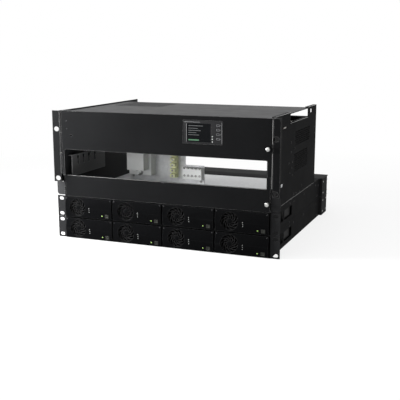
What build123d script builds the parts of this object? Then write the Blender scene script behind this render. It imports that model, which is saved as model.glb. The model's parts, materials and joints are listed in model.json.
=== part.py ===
from build123d import *
import math
import os

# Rack power system, 6 rack units tall: two rectifier shelves under a distribution chassis.
# Millimetres. X is to the right, Y to the rear and Z up. While a piece is modelled, Y is
# measured from the front of the shelf ears. place() then moves it to the part's own origin,
# the middle of the underside of the lower shelf.

# Rack grid
RACK_UNIT = 44.45
BODY_WIDTH = 447.0
EAR_REACH = 17.8
EAR_HOLE_FROM_EDGE = 8.75
SHELF_COUNT = 2
CHASSIS_UNITS = 4

# Sheet metal and clearances
SHEET = 1.5
EAR_SHEET = 2.0
STACK_GAP = 0.3
SLIDE_GAP = 0.35
FIT_GAP = 0.3
SHAFT_GAP = 0.05
SMALL_SIDES = 12

# Rectifier shelf
TRAY_DEPTH = 400.0
DECK_FRONT = 325.0
SHELF_EAR_HOLE_LENGTH = 11.0
SHELF_EAR_HOLE_HEIGHT = 7.0
SHELF_EAR_HOLE_FROM_EDGE = 6.35
SHELF_CUTOUTS = ((60.0, 85.0), (93.0, 150.0))
SHELF_CUTOUT_BOTTOM = 10.0
SHELF_CUTOUT_TOP = 30.0
GUIDE_STARTS = (12.0, 150.0, 290.0)
GUIDE_LENGTH = 22.0
GUIDE_HEIGHT = 6.0
GUIDE_THICKNESS = 1.2

# Connection box behind each shelf
REAR_BOX_DEPTH = 50.0
REAR_BOX_OVERHANG = 6.5
REAR_LIP_DEPTH = 8.0
REAR_LID_OVERHANG = 1.0
REAR_RIM = 3.0
AC_OPENING = (-200.0, -140.0)
DC_OPENING = (60.0, 200.0)
OPENING_MARGIN = 10.0

# Rectifier module
MODULES_PER_SHELF = 4
MODULE_GAP = 2.0
MODULE_HEIGHT = 41.5
MODULE_LENGTH = 321.0
CASE_INSET = 0.4
BEZEL_TOP_Y = -4.0
BEZEL_CREASE_Y = -7.0
BEZEL_FOOT_Y = -5.0
BEZEL_CHAMFER = 1.2
PLUG_WIDTH = 40.0
PLUG_HEIGHT = 16.0
PLUG_LENGTH = 10.0
VENT_COUNT = 4
VENT_WIDTH = 3.0
VENT_DEPTH = 3.0
VENT_MARGIN = 8.0

# Fan of the module
FAN_FROM_LEFT = 30.0
FAN_BORE = 36.6
FAN_BORE_SIDES = 20
FAN_POCKET = 38.0
FAN_TIP = 34.4
FAN_HUB = 15.0
FAN_SPINDLE = 3.0
FAN_LENGTH = 9.0
FAN_BLADES = 7
FAN_BLADE_CHORD = 9.5
FAN_BLADE_THICKNESS = 1.0
FAN_BLADE_PITCH = 42.0
GUARD_FRONT_Y = -3.2
GUARD_THICKNESS = 1.4
GUARD_SLOTS = 7
GUARD_HUB = 10.5
GUARD_SLOT_SHARE = 0.62
GUARD_SLOT_SWEEP = 48.0
GUARD_SLOT_BOW = 27.0
GUARD_GAP = 1.0

# Latch button of the module
LATCH_FROM_RIGHT = 11.0
LATCH_FROM_BOTTOM = 6.6
LATCH_WIDTH = 8.0
LATCH_HEIGHT = 7.0
LATCH_LENGTH = 8.0
LATCH_PROUD = 1.6
LATCH_TRAVEL = 1.2

# Backplane at the rear of each shelf
BACKPLANE_GAP = 12.0
BACKPLANE_THICKNESS = 2.0
BACKPLANE_MARGIN = 4.0
SOCKET_WALL = 3.5
SOCKET_GAP = 0.5
SOCKET_SETBACK = 1.0
TAB_CENTRES = (95.0, 165.0)
TAB_WIDTH = 30.0
TAB_THICKNESS = 3.0
AC_BLOCK_WIDTH = 50.0
AC_BLOCK_HEIGHT = 16.0
WIRING_SPACE = 8.0

# Distribution chassis
CHASSIS_DEPTH = 342.0
CHASSIS_TOP_GAP = 0.4
COVER_RECESS = 2.3
COVER_REAR = 285.0
COVER_FRONT = 3.0
COVER_FRONT_FLANGE = 3.5
COVER_SIDE_FLANGE = 12.0
NOTCH_FRONT = 123.0
NOTCH_REAR = 267.0
NOTCH_DEPTH = 21.6
NOTCH_FLANGE = 8.0
LIP_FRONT = 18.0
LIP_WIDTH = 7.5
TAB_SLOT_Y = 294.0
TAB_SLOT_LENGTH = 14.0
TAB_SLOT_HEIGHT = 8.0
TAB_SLOT_FROM_TOP = 9.8
CABLE_HOLE = ((61.0, 124.5), (77.0, 124.5), (79.0, 131.5), (63.0, 131.5))
TIE_SLIT_FRONT = 70.0
TIE_SLIT_LENGTH = 27.0
TIE_SLIT_HEIGHT = 3.0
TIE_SLIT_FROM_TOP = 26.5
CATCH_WIDTH = 8.5
CATCH_BOTTOM_GAP = 3.0
LOW_EAR_HEIGHT = 27.3
LOW_EAR_BOTTOM_GAP = 1.8
LOW_EAR_RADIUS = 6.0
RAIL_HEIGHT = 35.0
RAIL_FROM_TOP = 26.3
RAIL_DEPTH = 13.5
RAIL_SETBACK = 2.5
FLOOR_LIP_Y = 2.5
FLOOR_LIP_GAP = 3.5

# Upper rack ears, stepped forward to the door's plane
UPPER_EAR_HOLE_LENGTH = 12.0
UPPER_EAR_HOLE_HEIGHT = 9.5
UPPER_EAR_HOLES = (38.1, 139.7)
UPPER_EAR_BOTTOM = 31.1
UPPER_EAR_FLANGE = 56.0
UPPER_EAR_STEP_X = 4.5
LEFT_EAR_STEP_X = 1.7

# Door and lower panel
DOOR_DEPTH = 10.0
DOOR_OVERHANG = 3.0
DOOR_STRIP = 78.3
DOOR_FLANGE_GAP = 1.0
DOOR_FLANGE_BREAK = 18.0
WINDOW_HEM = 5.5
WINDOW_LEFT_MARGIN = 8.0
WINDOW_RIGHT_MARGIN = 5.5
WINDOW_RADIUS = 4.0
PANEL_HEIGHT = 44.5
PANEL_FACE = 3.0
PANEL_FOLD = 3.0
PANEL_GAP = 0.6
PANEL_SIDE_GAP = 2.0
PANEL_LEG_WIDTH = 7.5
PANEL_LEG_HEIGHT = 23.1
PANEL_NOTCHES = ((-188.0, 7.0), (2.0, 7.0))
PANEL_NOTCH_DEPTH = 1.6
LEG_GAP = 0.5
SPY_HOLE_X = -198.4
SPY_HOLE_FROM_TOP = 49.5
SPY_HOLE = 4.0

# Hinges of the door and of the lower panel
PIN = 2.0
DOOR_BARREL = 4.0
PANEL_BARREL = 3.6
DOOR_HINGE_INSET = 0.8
DOOR_HINGE_DEPTH = 1.0
PANEL_HINGE_INSET = 2.3
KNUCKLE_GAP = 0.4
DOOR_KNUCKLES = 3
PANEL_KNUCKLES = 3
LEAF = 1.2
HINGE_END_GAP = 2.0

# Thumb screws
KNOB = 8.0
KNOB_LENGTH = 8.0
KNOB_SIDES = 16
SCREW_SHANK = 4.0
SCREW_COLLAR = 5.0
SCREW_COLLAR_LENGTH = 1.5
SCREW_REACH = 3.0
CATCH_HOLE = 4.8
DOOR_SCREW_INSET = 4.0
PANEL_SCREW_INSET = 6.3
DOOR_SCREW_FROM_TOP = 56.0
PANEL_SCREW_HEIGHT = 16.5

# Controller in the door
CONTROLLER_X = 88.5
CONTROLLER_FROM_TOP = 30.8
CONTROLLER_WIDTH = 79.0
CONTROLLER_HEIGHT = 44.0
CONTROLLER_DEPTH = 54.0
CONTROLLER_RECESS = 0.5
CONTROLLER_RIM = 3.5
SCREEN_LEFT = 8.0
SCREEN_BOTTOM = 3.3
SCREEN_WIDTH = 48.0
SCREEN_HEIGHT = 34.5
SCREEN_THICKNESS = 0.8
SCREEN_RECESS = 1.5
BUTTON_COUNT = 4
BUTTON_FROM_RIGHT = 8.0
BUTTON_LOWEST = 10.2
BUTTON_PITCH = 8.5
BUTTON_WIDTH = 7.0
BUTTON_HEIGHT = 4.5
BUTTON_LENGTH = 3.3
BUTTON_PROUD = 0.8
BUTTON_TRAVEL = 0.8

# Cable bracket on the left wall
BRACKET_FRONT = 15.0
BRACKET_REAR = 155.0
BRACKET_BOTTOM = 39.1
BRACKET_TOP = 83.1
BRACKET_DEPTH = 8.7
KEYHOLE_YS = (40.0, 62.0, 85.0, 110.0)
KEYHOLE = 9.0
KEYHOLE_TAIL = 5.0
KEYHOLE_HEIGHT = 77.0
KEYHOLE_TAIL_BOTTOM = 61.0

# Equipment in the bay, heights from the bay floor
PLATE_Y = 205.0
PLATE_LEFT = -175.0
PLATE_STEP_X = -37.0
PLATE_RIGHT = 8.0
PLATE_STEP_HEIGHT = 44.0
PLATE_HEIGHT = 109.0
PLATE_FOOT = 16.0
TERMINAL_HEIGHT = 26.0
TERMINAL_FOOT = 15.0
TERMINAL_DEPTH = 18.0
TERMINAL_TEETH = 5
EARTH_X = -60.0
EARTH_WIDTH = 12.0
EARTH_HEIGHT = 60.0
EARTH_DEPTH = 22.0
EARTH_STEPS = 5
CONTACTOR_LEFT = -165.0
CONTACTOR_WIDTH = 55.0
CONTACTOR_HEIGHT = 70.0
CONTACTOR_DEPTH = 50.0
CONTACTOR_FOOT = 19.0
CONTACTOR_INSET = 7.0
CONTACTOR_STEP = 14.0
STUD = 8.4
STUD_LENGTH = 14.0
BUSBAR_LENGTH = 380.0
BUSBAR_HEIGHT = 30.0
BUSBAR_THICKNESS = 6.0
BUSBAR_PITCH = 16.0
BUSBAR_FROM_TOP = 36.3
BUSBAR_HOLES = 5
BUSBAR_HOLE = 8.5
BUSBAR_HOLE_PITCH = 40.0
HOLDER_X = 150.0
HOLDER_WIDTH = 20.0
HOLDER_DEPTH = 36.0
HOLDER_WALL = 7.0
HOLDER_FOOT = 10.0
HOLDER_TOP = 26.3

# Places that follow from the sizes above
HALF_BODY = BODY_WIDTH / 2
HALF_EARS = HALF_BODY + EAR_REACH
EAR_HOLE_X = HALF_EARS - EAR_HOLE_FROM_EDGE
INNER_HALF = HALF_BODY - SHEET
SHELF_HEIGHT = RACK_UNIT - STACK_GAP
CHASSIS_BASE = SHELF_COUNT * RACK_UNIT
CHASSIS_TOP = CHASSIS_BASE + CHASSIS_UNITS * RACK_UNIT - CHASSIS_TOP_GAP
FLOOR_TOP = CHASSIS_BASE + SHEET
COVER_TOP = CHASSIS_TOP - COVER_RECESS
COVER_UNDERSIDE = COVER_TOP - SHEET
MODULE_PITCH = 2 * INNER_HALF / MODULES_PER_SHELF
MODULE_WIDTH = MODULE_PITCH - MODULE_GAP
PLUG_MIDDLE = MODULE_HEIGHT / 2
BACKPLANE_Y = MODULE_LENGTH + BACKPLANE_GAP
DOOR_BACK = -DOOR_DEPTH + SHEET
DOOR_RIGHT = HALF_BODY + DOOR_OVERHANG
WINDOW_TOP = CHASSIS_TOP - DOOR_STRIP
WINDOW_LEFT = -HALF_BODY + WINDOW_LEFT_MARGIN
WINDOW_RIGHT = HALF_BODY - WINDOW_RIGHT_MARGIN
PANEL_TOP = CHASSIS_BASE + PANEL_HEIGHT
PANEL_BOTTOM = CHASSIS_BASE + PANEL_GAP
PANEL_BACK = -PANEL_FACE + SHEET
PANEL_RIGHT = HALF_BODY - PANEL_SIDE_GAP
PANEL_LEG_TOP = PANEL_TOP + PANEL_LEG_HEIGHT
DOOR_LEG_BOTTOM = PANEL_LEG_TOP + LEG_GAP
DOOR_HINGE_X = -HALF_BODY + DOOR_HINGE_INSET
DOOR_HINGE_Y = -DOOR_DEPTH + DOOR_HINGE_DEPTH
PANEL_HINGE_X = -HALF_BODY + PANEL_HINGE_INSET
PANEL_HINGE_Y = -PANEL_BARREL / 2 - FIT_GAP
DOOR_SCREW_X = HALF_BODY - DOOR_SCREW_INSET
PANEL_SCREW_X = HALF_BODY - PANEL_SCREW_INSET
DOOR_SCREW_Z = CHASSIS_TOP - DOOR_SCREW_FROM_TOP
PANEL_SCREW_Z = CHASSIS_BASE + PANEL_SCREW_HEIGHT
CONTROLLER_Z = CHASSIS_TOP - CONTROLLER_FROM_TOP
RAIL_TOP = CHASSIS_TOP - RAIL_FROM_TOP
RAIL_BACK = CHASSIS_DEPTH - RAIL_SETBACK
RAIL_FRONT = RAIL_BACK - RAIL_DEPTH
ORIGIN_Y = (TRAY_DEPTH + REAR_BOX_DEPTH) / 2


def place(piece):
    """Move a piece from the ears' plane to the part's origin."""
    return Pos(0, -ORIGIN_Y, 0) * piece


def block(x0, x1, y0, y1, z0, z1):
    """Box between two limits on each axis."""
    middle = Pos((x0 + x1) / 2, (y0 + y1) / 2, (z0 + z1) / 2)
    return middle * Box(x1 - x0, y1 - y0, z1 - z0)


def seen_from_front(x, z, y):
    """Where a sketch is drawn facing the viewer, to be extruded towards -Y."""
    return Plane(origin=(x, y, z), x_dir=(1, 0, 0), z_dir=(0, -1, 0)).location


def seen_from_right(y, z, x):
    """Where a sketch is drawn on a side wall, to be extruded towards +X."""
    return Plane(origin=(x, y, z), x_dir=(0, 1, 0), z_dir=(1, 0, 0)).location


def along_y(section, x, z, y0, y1):
    """Section drawn facing the viewer and carried from y0 to y1."""
    return extrude(seen_from_front(x, z, y1) * section, y1 - y0)


def along_x(section, y, z, x0, x1):
    """Section drawn on a side wall and carried from x0 to x1."""
    return extrude(seen_from_right(y, z, x0) * section, x1 - x0)


def along_z(section, x, y, z0, z1):
    """Section drawn from above and carried from z0 to z1."""
    return extrude(Pos(x, y, z0) * section, z1 - z0)


def bar_section(diameter):
    """Small round bar, with few sides because so many of them repeat."""
    return RegularPolygon(diameter / 2, SMALL_SIDES)


def bore_section(diameter):
    """Small bore with few sides, each of which clears a bar of the same diameter."""
    return RegularPolygon(diameter / 2, SMALL_SIDES, major_radius=False)


def outline(points):
    return make_face(Polyline(*points, close=True))


def mirrored(piece):
    return mirror(piece, about=Plane.YZ)


# Rectifier shelves

def shelf_side_details(bottom, top):
    """Rack ear with its two holes, and the vent cut-outs behind it, on the right side."""
    ear = block(INNER_HALF, HALF_EARS, 0, EAR_SHEET, bottom + STACK_GAP, top)
    hole_heights = (
        bottom + SHELF_EAR_HOLE_FROM_EDGE,
        bottom + RACK_UNIT - SHELF_EAR_HOLE_FROM_EDGE,
    )
    holes = [
        along_y(
            SlotOverall(SHELF_EAR_HOLE_LENGTH, SHELF_EAR_HOLE_HEIGHT),
            EAR_HOLE_X, z, -1, EAR_SHEET + 1,
        )
        for z in hole_heights
    ]
    cutouts = [
        block(
            INNER_HALF - 1, HALF_BODY + 1, front, rear,
            bottom + SHELF_CUTOUT_BOTTOM, bottom + SHELF_CUTOUT_TOP,
        )
        for front, rear in SHELF_CUTOUTS
    ]
    return ear - holes, cutouts


def shelf(bottom):
    """Folded tray, open on top, with lanced guides between the modules and a rear deck."""
    top = bottom + SHELF_HEIGHT
    tray = block(-HALF_BODY, HALF_BODY, 0, TRAY_DEPTH, bottom, top)
    tray -= block(-INNER_HALF, INNER_HALF, -1, TRAY_DEPTH + 1, bottom + SHEET, top + 1)
    tray += block(-INNER_HALF, INNER_HALF, DECK_FRONT, TRAY_DEPTH, top - SHEET, top)
    ear, cutouts = shelf_side_details(bottom, top)
    tray = tray - cutouts - [mirrored(cutout) for cutout in cutouts] + ear + mirrored(ear)
    for row in range(1, MODULES_PER_SHELF):
        middle = -INNER_HALF + row * MODULE_PITCH
        for start in GUIDE_STARTS:
            tray += block(
                middle - GUIDE_THICKNESS / 2, middle + GUIDE_THICKNESS / 2,
                start, start + GUIDE_LENGTH, bottom + SHEET, bottom + SHEET + GUIDE_HEIGHT,
            )
    return tray


def rear_box(bottom, lip):
    """Connection box behind a shelf: proud cheeks, a rim that meets the tray, two openings."""
    half = HALF_BODY + REAR_BOX_OVERHANG
    top = bottom + SHELF_HEIGHT
    front = TRAY_DEPTH
    rear = TRAY_DEPTH + REAR_BOX_DEPTH
    box = block(-half, half, front, rear, bottom, top)
    box -= block(-half + SHEET, half - SHEET, front + SHEET, rear - SHEET, bottom + SHEET, top - SHEET)
    rim = INNER_HALF - REAR_RIM
    box -= block(-rim, rim, front - 1, front + SHEET + 1, bottom + REAR_RIM, top - REAR_RIM)
    for left, right in (AC_OPENING, DC_OPENING):
        box -= block(
            left, right, rear - SHEET - 1, rear + 1, bottom + OPENING_MARGIN, top - OPENING_MARGIN
        )
    lid = half + REAR_LID_OVERHANG
    box += block(-lid, lid, front, rear, top - SHEET, top)
    if lip:
        box += block(-half, half, rear - 1, rear + REAR_LIP_DEPTH, top - SHEET, top)
    return box


def backplane(bottom):
    """Board with a socket for each module, DC output tabs and the AC terminal housing."""
    floor = bottom + SHEET
    board_back = BACKPLANE_Y + BACKPLANE_THICKNESS
    board = block(
        -INNER_HALF + BACKPLANE_MARGIN, INNER_HALF - BACKPLANE_MARGIN, BACKPLANE_Y, board_back,
        floor + FIT_GAP, bottom + SHELF_HEIGHT - SHEET - FIT_GAP,
    )
    middle = floor + SLIDE_GAP + PLUG_MIDDLE
    half_width = PLUG_WIDTH / 2 + SOCKET_GAP
    half_height = PLUG_HEIGHT / 2 + SOCKET_GAP
    for x in module_centres():
        socket = block(
            x - half_width - SOCKET_WALL, x + half_width + SOCKET_WALL,
            MODULE_LENGTH + SOCKET_SETBACK, BACKPLANE_Y,
            middle - half_height - SOCKET_WALL, middle + half_height + SOCKET_WALL,
        )
        pocket = block(
            x - half_width, x + half_width, MODULE_LENGTH,
            MODULE_LENGTH + PLUG_LENGTH + SOCKET_GAP, middle - half_height, middle + half_height,
        )
        board = board + socket - pocket
    reach = TRAY_DEPTH + REAR_BOX_DEPTH - SHEET - WIRING_SPACE
    for x in TAB_CENTRES:
        board += block(
            x - TAB_WIDTH / 2, x + TAB_WIDTH / 2, board_back, reach,
            middle - TAB_THICKNESS / 2, middle + TAB_THICKNESS / 2,
        )
    ac_middle = sum(AC_OPENING) / 2
    board += block(
        ac_middle - AC_BLOCK_WIDTH / 2, ac_middle + AC_BLOCK_WIDTH / 2, board_back, reach,
        middle - AC_BLOCK_HEIGHT / 2, middle + AC_BLOCK_HEIGHT / 2,
    )
    return board


# Rectifier modules, each modelled with its own middle at X 0 and its underside at Z 0

def module_centres():
    first = -INNER_HALF + MODULE_PITCH / 2
    return [first + column * MODULE_PITCH for column in range(MODULES_PER_SHELF)]


def module_bottom(shelf_number):
    return shelf_number * RACK_UNIT + SHEET + SLIDE_GAP


FAN_X = -MODULE_WIDTH / 2 + FAN_FROM_LEFT
FAN_Z = MODULE_HEIGHT / 2
GUARD_BACK_Y = GUARD_FRONT_Y + GUARD_THICKNESS
ROTOR_FRONT_Y = GUARD_BACK_Y + GUARD_GAP
ROTOR_BACK_Y = ROTOR_FRONT_Y + FAN_LENGTH
FAN_POCKET_BACK_Y = ROTOR_BACK_Y + 3 * GUARD_GAP
LATCH_X = MODULE_WIDTH / 2 - LATCH_FROM_RIGHT
LATCH_FRONT_Y = BEZEL_FOOT_Y - LATCH_PROUD


def guard_slot(turn):
    """One curved slot of the fan guard, between two bowed edges that lean round the hub."""
    inner = GUARD_HUB / 2
    outer = FAN_BORE / 2 - GUARD_GAP
    width = 360 / GUARD_SLOTS * GUARD_SLOT_SHARE

    def at(radius, angle):
        turned = math.radians(turn + angle)
        return (radius * math.cos(turned), radius * math.sin(turned))

    middle = (inner + outer) / 2
    leading = ThreePointArc(
        at(inner, 0), at(middle, GUARD_SLOT_BOW), at(outer, GUARD_SLOT_SWEEP)
    )
    trailing = ThreePointArc(
        at(inner, width), at(middle, GUARD_SLOT_BOW + width), at(outer, GUARD_SLOT_SWEEP + width)
    )
    return make_face([
        leading, Line(leading @ 1, trailing @ 1), trailing, Line(trailing @ 0, leading @ 0),
    ])


def rectifier_case():
    """Closed module case with its bezel, fan pocket and guard, latch pocket, vents and plug."""
    half = MODULE_WIDTH / 2
    bezel_side = outline([
        (0, 0), (BEZEL_FOOT_Y, 0), (BEZEL_CREASE_Y, MODULE_HEIGHT / 2),
        (BEZEL_TOP_Y, MODULE_HEIGHT), (0, MODULE_HEIGHT),
    ])
    bezel = extrude(seen_from_right(0, 0, -half) * bezel_side, MODULE_WIDTH)
    ends = [edge for edge in bezel.edges() if abs(edge.center().X) > half - 0.01]
    bezel = chamfer([edge for edge in ends if edge.center().Y < BEZEL_TOP_Y - 0.2], BEZEL_CHAMFER)
    case = bezel + block(
        -half + CASE_INSET, half - CASE_INSET, 0, MODULE_LENGTH,
        CASE_INSET, MODULE_HEIGHT - CASE_INSET,
    )
    recess = RegularPolygon(FAN_BORE / 2, FAN_BORE_SIDES)
    case -= along_y(recess, FAN_X, FAN_Z, BEZEL_CREASE_Y - 1, GUARD_FRONT_Y)
    pocket = Rectangle(FAN_POCKET, FAN_POCKET)
    case -= along_y(pocket, FAN_X, FAN_Z, GUARD_BACK_Y, FAN_POCKET_BACK_Y)
    case -= [
        along_y(
            guard_slot(360 / GUARD_SLOTS * number),
            FAN_X, FAN_Z, GUARD_FRONT_Y - GUARD_GAP / 2, GUARD_BACK_Y + GUARD_GAP / 2,
        )
        for number in range(GUARD_SLOTS)
    ]
    case += along_y(
        bar_section(FAN_HUB - GUARD_GAP), FAN_X, FAN_Z, ROTOR_BACK_Y + FIT_GAP, FAN_POCKET_BACK_Y
    )
    case += along_y(
        bar_section(FAN_SPINDLE), FAN_X, FAN_Z, ROTOR_FRONT_Y + FAN_LENGTH / 3, FAN_POCKET_BACK_Y
    )
    case -= block(
        LATCH_X - LATCH_WIDTH / 2 - FIT_GAP, LATCH_X + LATCH_WIDTH / 2 + FIT_GAP,
        BEZEL_CREASE_Y - 1, LATCH_FRONT_Y + LATCH_LENGTH + LATCH_TRAVEL + FIT_GAP,
        LATCH_FROM_BOTTOM - LATCH_HEIGHT / 2 - FIT_GAP,
        LATCH_FROM_BOTTOM + LATCH_HEIGHT / 2 + FIT_GAP,
    )
    vent_pitch = (MODULE_WIDTH - 2 * VENT_MARGIN) / VENT_COUNT
    plug_span = PLUG_WIDTH / 2 + VENT_WIDTH
    for number in range(VENT_COUNT):
        x = -half + VENT_MARGIN + (number + 0.5) * vent_pitch
        if abs(x) > plug_span:
            case -= block(
                x - VENT_WIDTH / 2, x + VENT_WIDTH / 2, MODULE_LENGTH - VENT_DEPTH,
                MODULE_LENGTH + 1, VENT_MARGIN, MODULE_HEIGHT - VENT_MARGIN,
            )
    return case + block(
        -PLUG_WIDTH / 2, PLUG_WIDTH / 2, MODULE_LENGTH - 1, MODULE_LENGTH + PLUG_LENGTH,
        PLUG_MIDDLE - PLUG_HEIGHT / 2, PLUG_MIDDLE + PLUG_HEIGHT / 2,
    )


def rectifier_rotor():
    """Fan rotor: a hub on the spindle and pitched blades, their corners on the tip circle."""
    middle = (ROTOR_FRONT_Y + ROTOR_BACK_Y) / 2
    hub = RegularPolygon(FAN_HUB / 2, 2 * FAN_BLADES)
    rotor = along_y(hub, FAN_X, FAN_Z, ROTOR_FRONT_Y, ROTOR_BACK_Y)
    pitch = math.radians(FAN_BLADE_PITCH)
    half_width = (FAN_BLADE_CHORD * math.sin(pitch) + FAN_BLADE_THICKNESS * math.cos(pitch)) / 2
    reach = math.sqrt((FAN_TIP / 2) ** 2 - half_width ** 2)
    root = FAN_HUB / 4
    blade = Pos((root + reach) / 2, 0, 0) * Rot(FAN_BLADE_PITCH, 0, 0) * Box(
        reach - root, FAN_BLADE_CHORD, FAN_BLADE_THICKNESS
    )
    for number in range(FAN_BLADES):
        rotor += Pos(FAN_X, middle, FAN_Z) * Rot(0, 360 / FAN_BLADES * number, 0) * blade
    return rotor - along_y(
        bore_section(FAN_SPINDLE + 2 * SHAFT_GAP), FAN_X, FAN_Z,
        ROTOR_FRONT_Y + FAN_LENGTH / 3 - FIT_GAP, ROTOR_BACK_Y + 1,
    )


def rectifier_latch():
    """Push button that frees the module, with a grip groove across its face."""
    button = block(
        LATCH_X - LATCH_WIDTH / 2, LATCH_X + LATCH_WIDTH / 2,
        LATCH_FRONT_Y, LATCH_FRONT_Y + LATCH_LENGTH,
        LATCH_FROM_BOTTOM - LATCH_HEIGHT / 2, LATCH_FROM_BOTTOM + LATCH_HEIGHT / 2,
    )
    groove = block(
        LATCH_X - LATCH_WIDTH / 4, LATCH_X + LATCH_WIDTH / 4,
        LATCH_FRONT_Y - 1, LATCH_FRONT_Y + LATCH_PROUD / 2,
        LATCH_FROM_BOTTOM - LATCH_HEIGHT / 4, LATCH_FROM_BOTTOM + LATCH_HEIGHT / 4,
    )
    return button - groove


def rectifier_places():
    """Number and place of every module, upper shelf first, left to right."""
    places = []
    for shelf_number in reversed(range(SHELF_COUNT)):
        for x in module_centres():
            places.append((len(places) + 1, Pos(x, 0, module_bottom(shelf_number))))
    return places


# Distribution chassis

def low_ear():
    """Short ear in the shelves' plane, its lower outer corner rounded, right side."""
    bottom = CHASSIS_BASE + LOW_EAR_BOTTOM_GAP
    ear = block(INNER_HALF, HALF_EARS, 0, EAR_SHEET, bottom, bottom + LOW_EAR_HEIGHT)
    corner = [
        edge for edge in ear.edges().filter_by(Axis.Y)
        if edge.center().X > HALF_EARS - 1 and edge.center().Z < bottom + 1
    ]
    return fillet(corner, LOW_EAR_RADIUS)


def side_plate_right():
    """Right wall: lip, notch with a folded edge, rear tab with its slot, cable holes, catch."""
    notch_floor = CHASSIS_TOP - NOTCH_DEPTH
    wall = outline([
        (0, CHASSIS_BASE), (CHASSIS_DEPTH, CHASSIS_BASE), (CHASSIS_DEPTH, CHASSIS_TOP),
        (NOTCH_REAR, CHASSIS_TOP), (NOTCH_REAR, notch_floor),
        (NOTCH_FRONT, notch_floor), (NOTCH_FRONT, CHASSIS_TOP), (0, CHASSIS_TOP),
    ])
    plate = extrude(seen_from_right(0, 0, INNER_HALF) * wall, SHEET)
    plate -= along_x(outline(CABLE_HOLE), 0, 0, INNER_HALF - 1, HALF_BODY + 1)
    plate -= along_x(
        Rectangle(TAB_SLOT_LENGTH, TAB_SLOT_HEIGHT),
        TAB_SLOT_Y, CHASSIS_TOP - TAB_SLOT_FROM_TOP, INNER_HALF - 1, HALF_BODY + 1,
    )
    slit_top = CHASSIS_TOP - TIE_SLIT_FROM_TOP + TIE_SLIT_HEIGHT / 2
    plate -= block(
        INNER_HALF - 1, HALF_BODY + 1, TIE_SLIT_FRONT, TIE_SLIT_FRONT + TIE_SLIT_LENGTH,
        slit_top - TIE_SLIT_HEIGHT, slit_top,
    )
    for front, rear in ((LIP_FRONT, NOTCH_FRONT), (NOTCH_REAR, CHASSIS_DEPTH)):
        plate += block(
            HALF_BODY - LIP_WIDTH, INNER_HALF + 1, front, rear, CHASSIS_TOP - SHEET, CHASSIS_TOP
        )
    plate += block(
        INNER_HALF - NOTCH_FLANGE, INNER_HALF + 1, NOTCH_FRONT, NOTCH_REAR,
        notch_floor - SHEET, notch_floor,
    )
    catch = block(
        INNER_HALF - CATCH_WIDTH, INNER_HALF + 1, 0, SHEET,
        DOOR_LEG_BOTTOM + CATCH_BOTTOM_GAP, COVER_UNDERSIDE - CATCH_BOTTOM_GAP,
    )
    plate += catch
    plate += low_ear()
    return plate - along_y(bore_section(CATCH_HOLE), DOOR_SCREW_X, DOOR_SCREW_Z, -1, SHEET + 1)


def hinge_spans(low, high, count):
    """Heights of the knuckles of one hinge, from the bottom: chassis ones first, then turn about."""
    pitch = (high - low) / count
    return [
        (low + number * pitch + KNUCKLE_GAP / 2, low + (number + 1) * pitch - KNUCKLE_GAP / 2)
        for number in range(count)
    ]


def knuckles(x, y, barrel, spans, leaf_x, leaf_y):
    """Hinge barrels over the given heights, each joined to a leaf between two X and Y limits."""
    parts = []
    for low, high in spans:
        parts.append(along_z(bar_section(barrel), x, y, low, high))
        parts.append(block(*leaf_x, *leaf_y, low, high))
    return parts


def pin_bore(x, y, low, high):
    return along_z(bore_section(PIN + 2 * SHAFT_GAP), x, y, low - 1, high + 1)


PANEL_HINGE_SPANS = hinge_spans(
    PANEL_BOTTOM + HINGE_END_GAP, CHASSIS_BASE + LOW_EAR_BOTTOM_GAP + LOW_EAR_HEIGHT, PANEL_KNUCKLES
)
DOOR_HINGE_SPANS = hinge_spans(
    PANEL_TOP + 2 * HINGE_END_GAP, CHASSIS_TOP - HINGE_END_GAP, DOOR_KNUCKLES
)


def side_plate_left():
    """Left wall, plain along the top, with the chassis knuckles of the lower panel's hinge."""
    plate = block(-HALF_BODY, -INNER_HALF, 0, CHASSIS_DEPTH, CHASSIS_BASE, CHASSIS_TOP)
    plate += mirrored(low_ear())
    ear_inner = -HALF_BODY - 2 * LEAF
    for piece in knuckles(
        PANEL_HINGE_X, PANEL_HINGE_Y, PANEL_BARREL, PANEL_HINGE_SPANS[0::2],
        (ear_inner, PANEL_HINGE_X), (-LEAF, 0),
    ):
        plate += piece
    return plate - pin_bore(
        PANEL_HINGE_X, PANEL_HINGE_Y, PANEL_HINGE_SPANS[0][0], PANEL_HINGE_SPANS[-1][1]
    )


def bay_floor():
    """Floor of the bay, its front edge turned up behind the lower panel."""
    half = INNER_HALF - FIT_GAP
    lip_top = PANEL_TOP - FLOOR_LIP_GAP
    floor = block(-half, half, FLOOR_LIP_Y, CHASSIS_DEPTH, CHASSIS_BASE, FLOOR_TOP)
    floor += block(-half, half, FLOOR_LIP_Y, FLOOR_LIP_Y + SHEET, CHASSIS_BASE, lip_top)
    return floor - along_y(
        bore_section(CATCH_HOLE), PANEL_SCREW_X, PANEL_SCREW_Z, 0, FLOOR_LIP_Y + SHEET + 1
    )


def top_cover():
    """Cover let in between the walls, with a short front flange and side flanges."""
    half = INNER_HALF - FIT_GAP
    cover = block(-half, half, COVER_FRONT, COVER_REAR, COVER_UNDERSIDE, COVER_TOP)
    cover += block(
        -half, half, COVER_FRONT, COVER_FRONT + SHEET,
        COVER_UNDERSIDE - COVER_FRONT_FLANGE, COVER_TOP,
    )
    flange_bottom = COVER_UNDERSIDE - COVER_SIDE_FLANGE
    cover += block(-half, -half + SHEET, LIP_FRONT, COVER_REAR, flange_bottom, COVER_TOP)
    return cover + block(half - SHEET, half, LIP_FRONT, NOTCH_FRONT - SHEET, flange_bottom, COVER_TOP)


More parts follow.
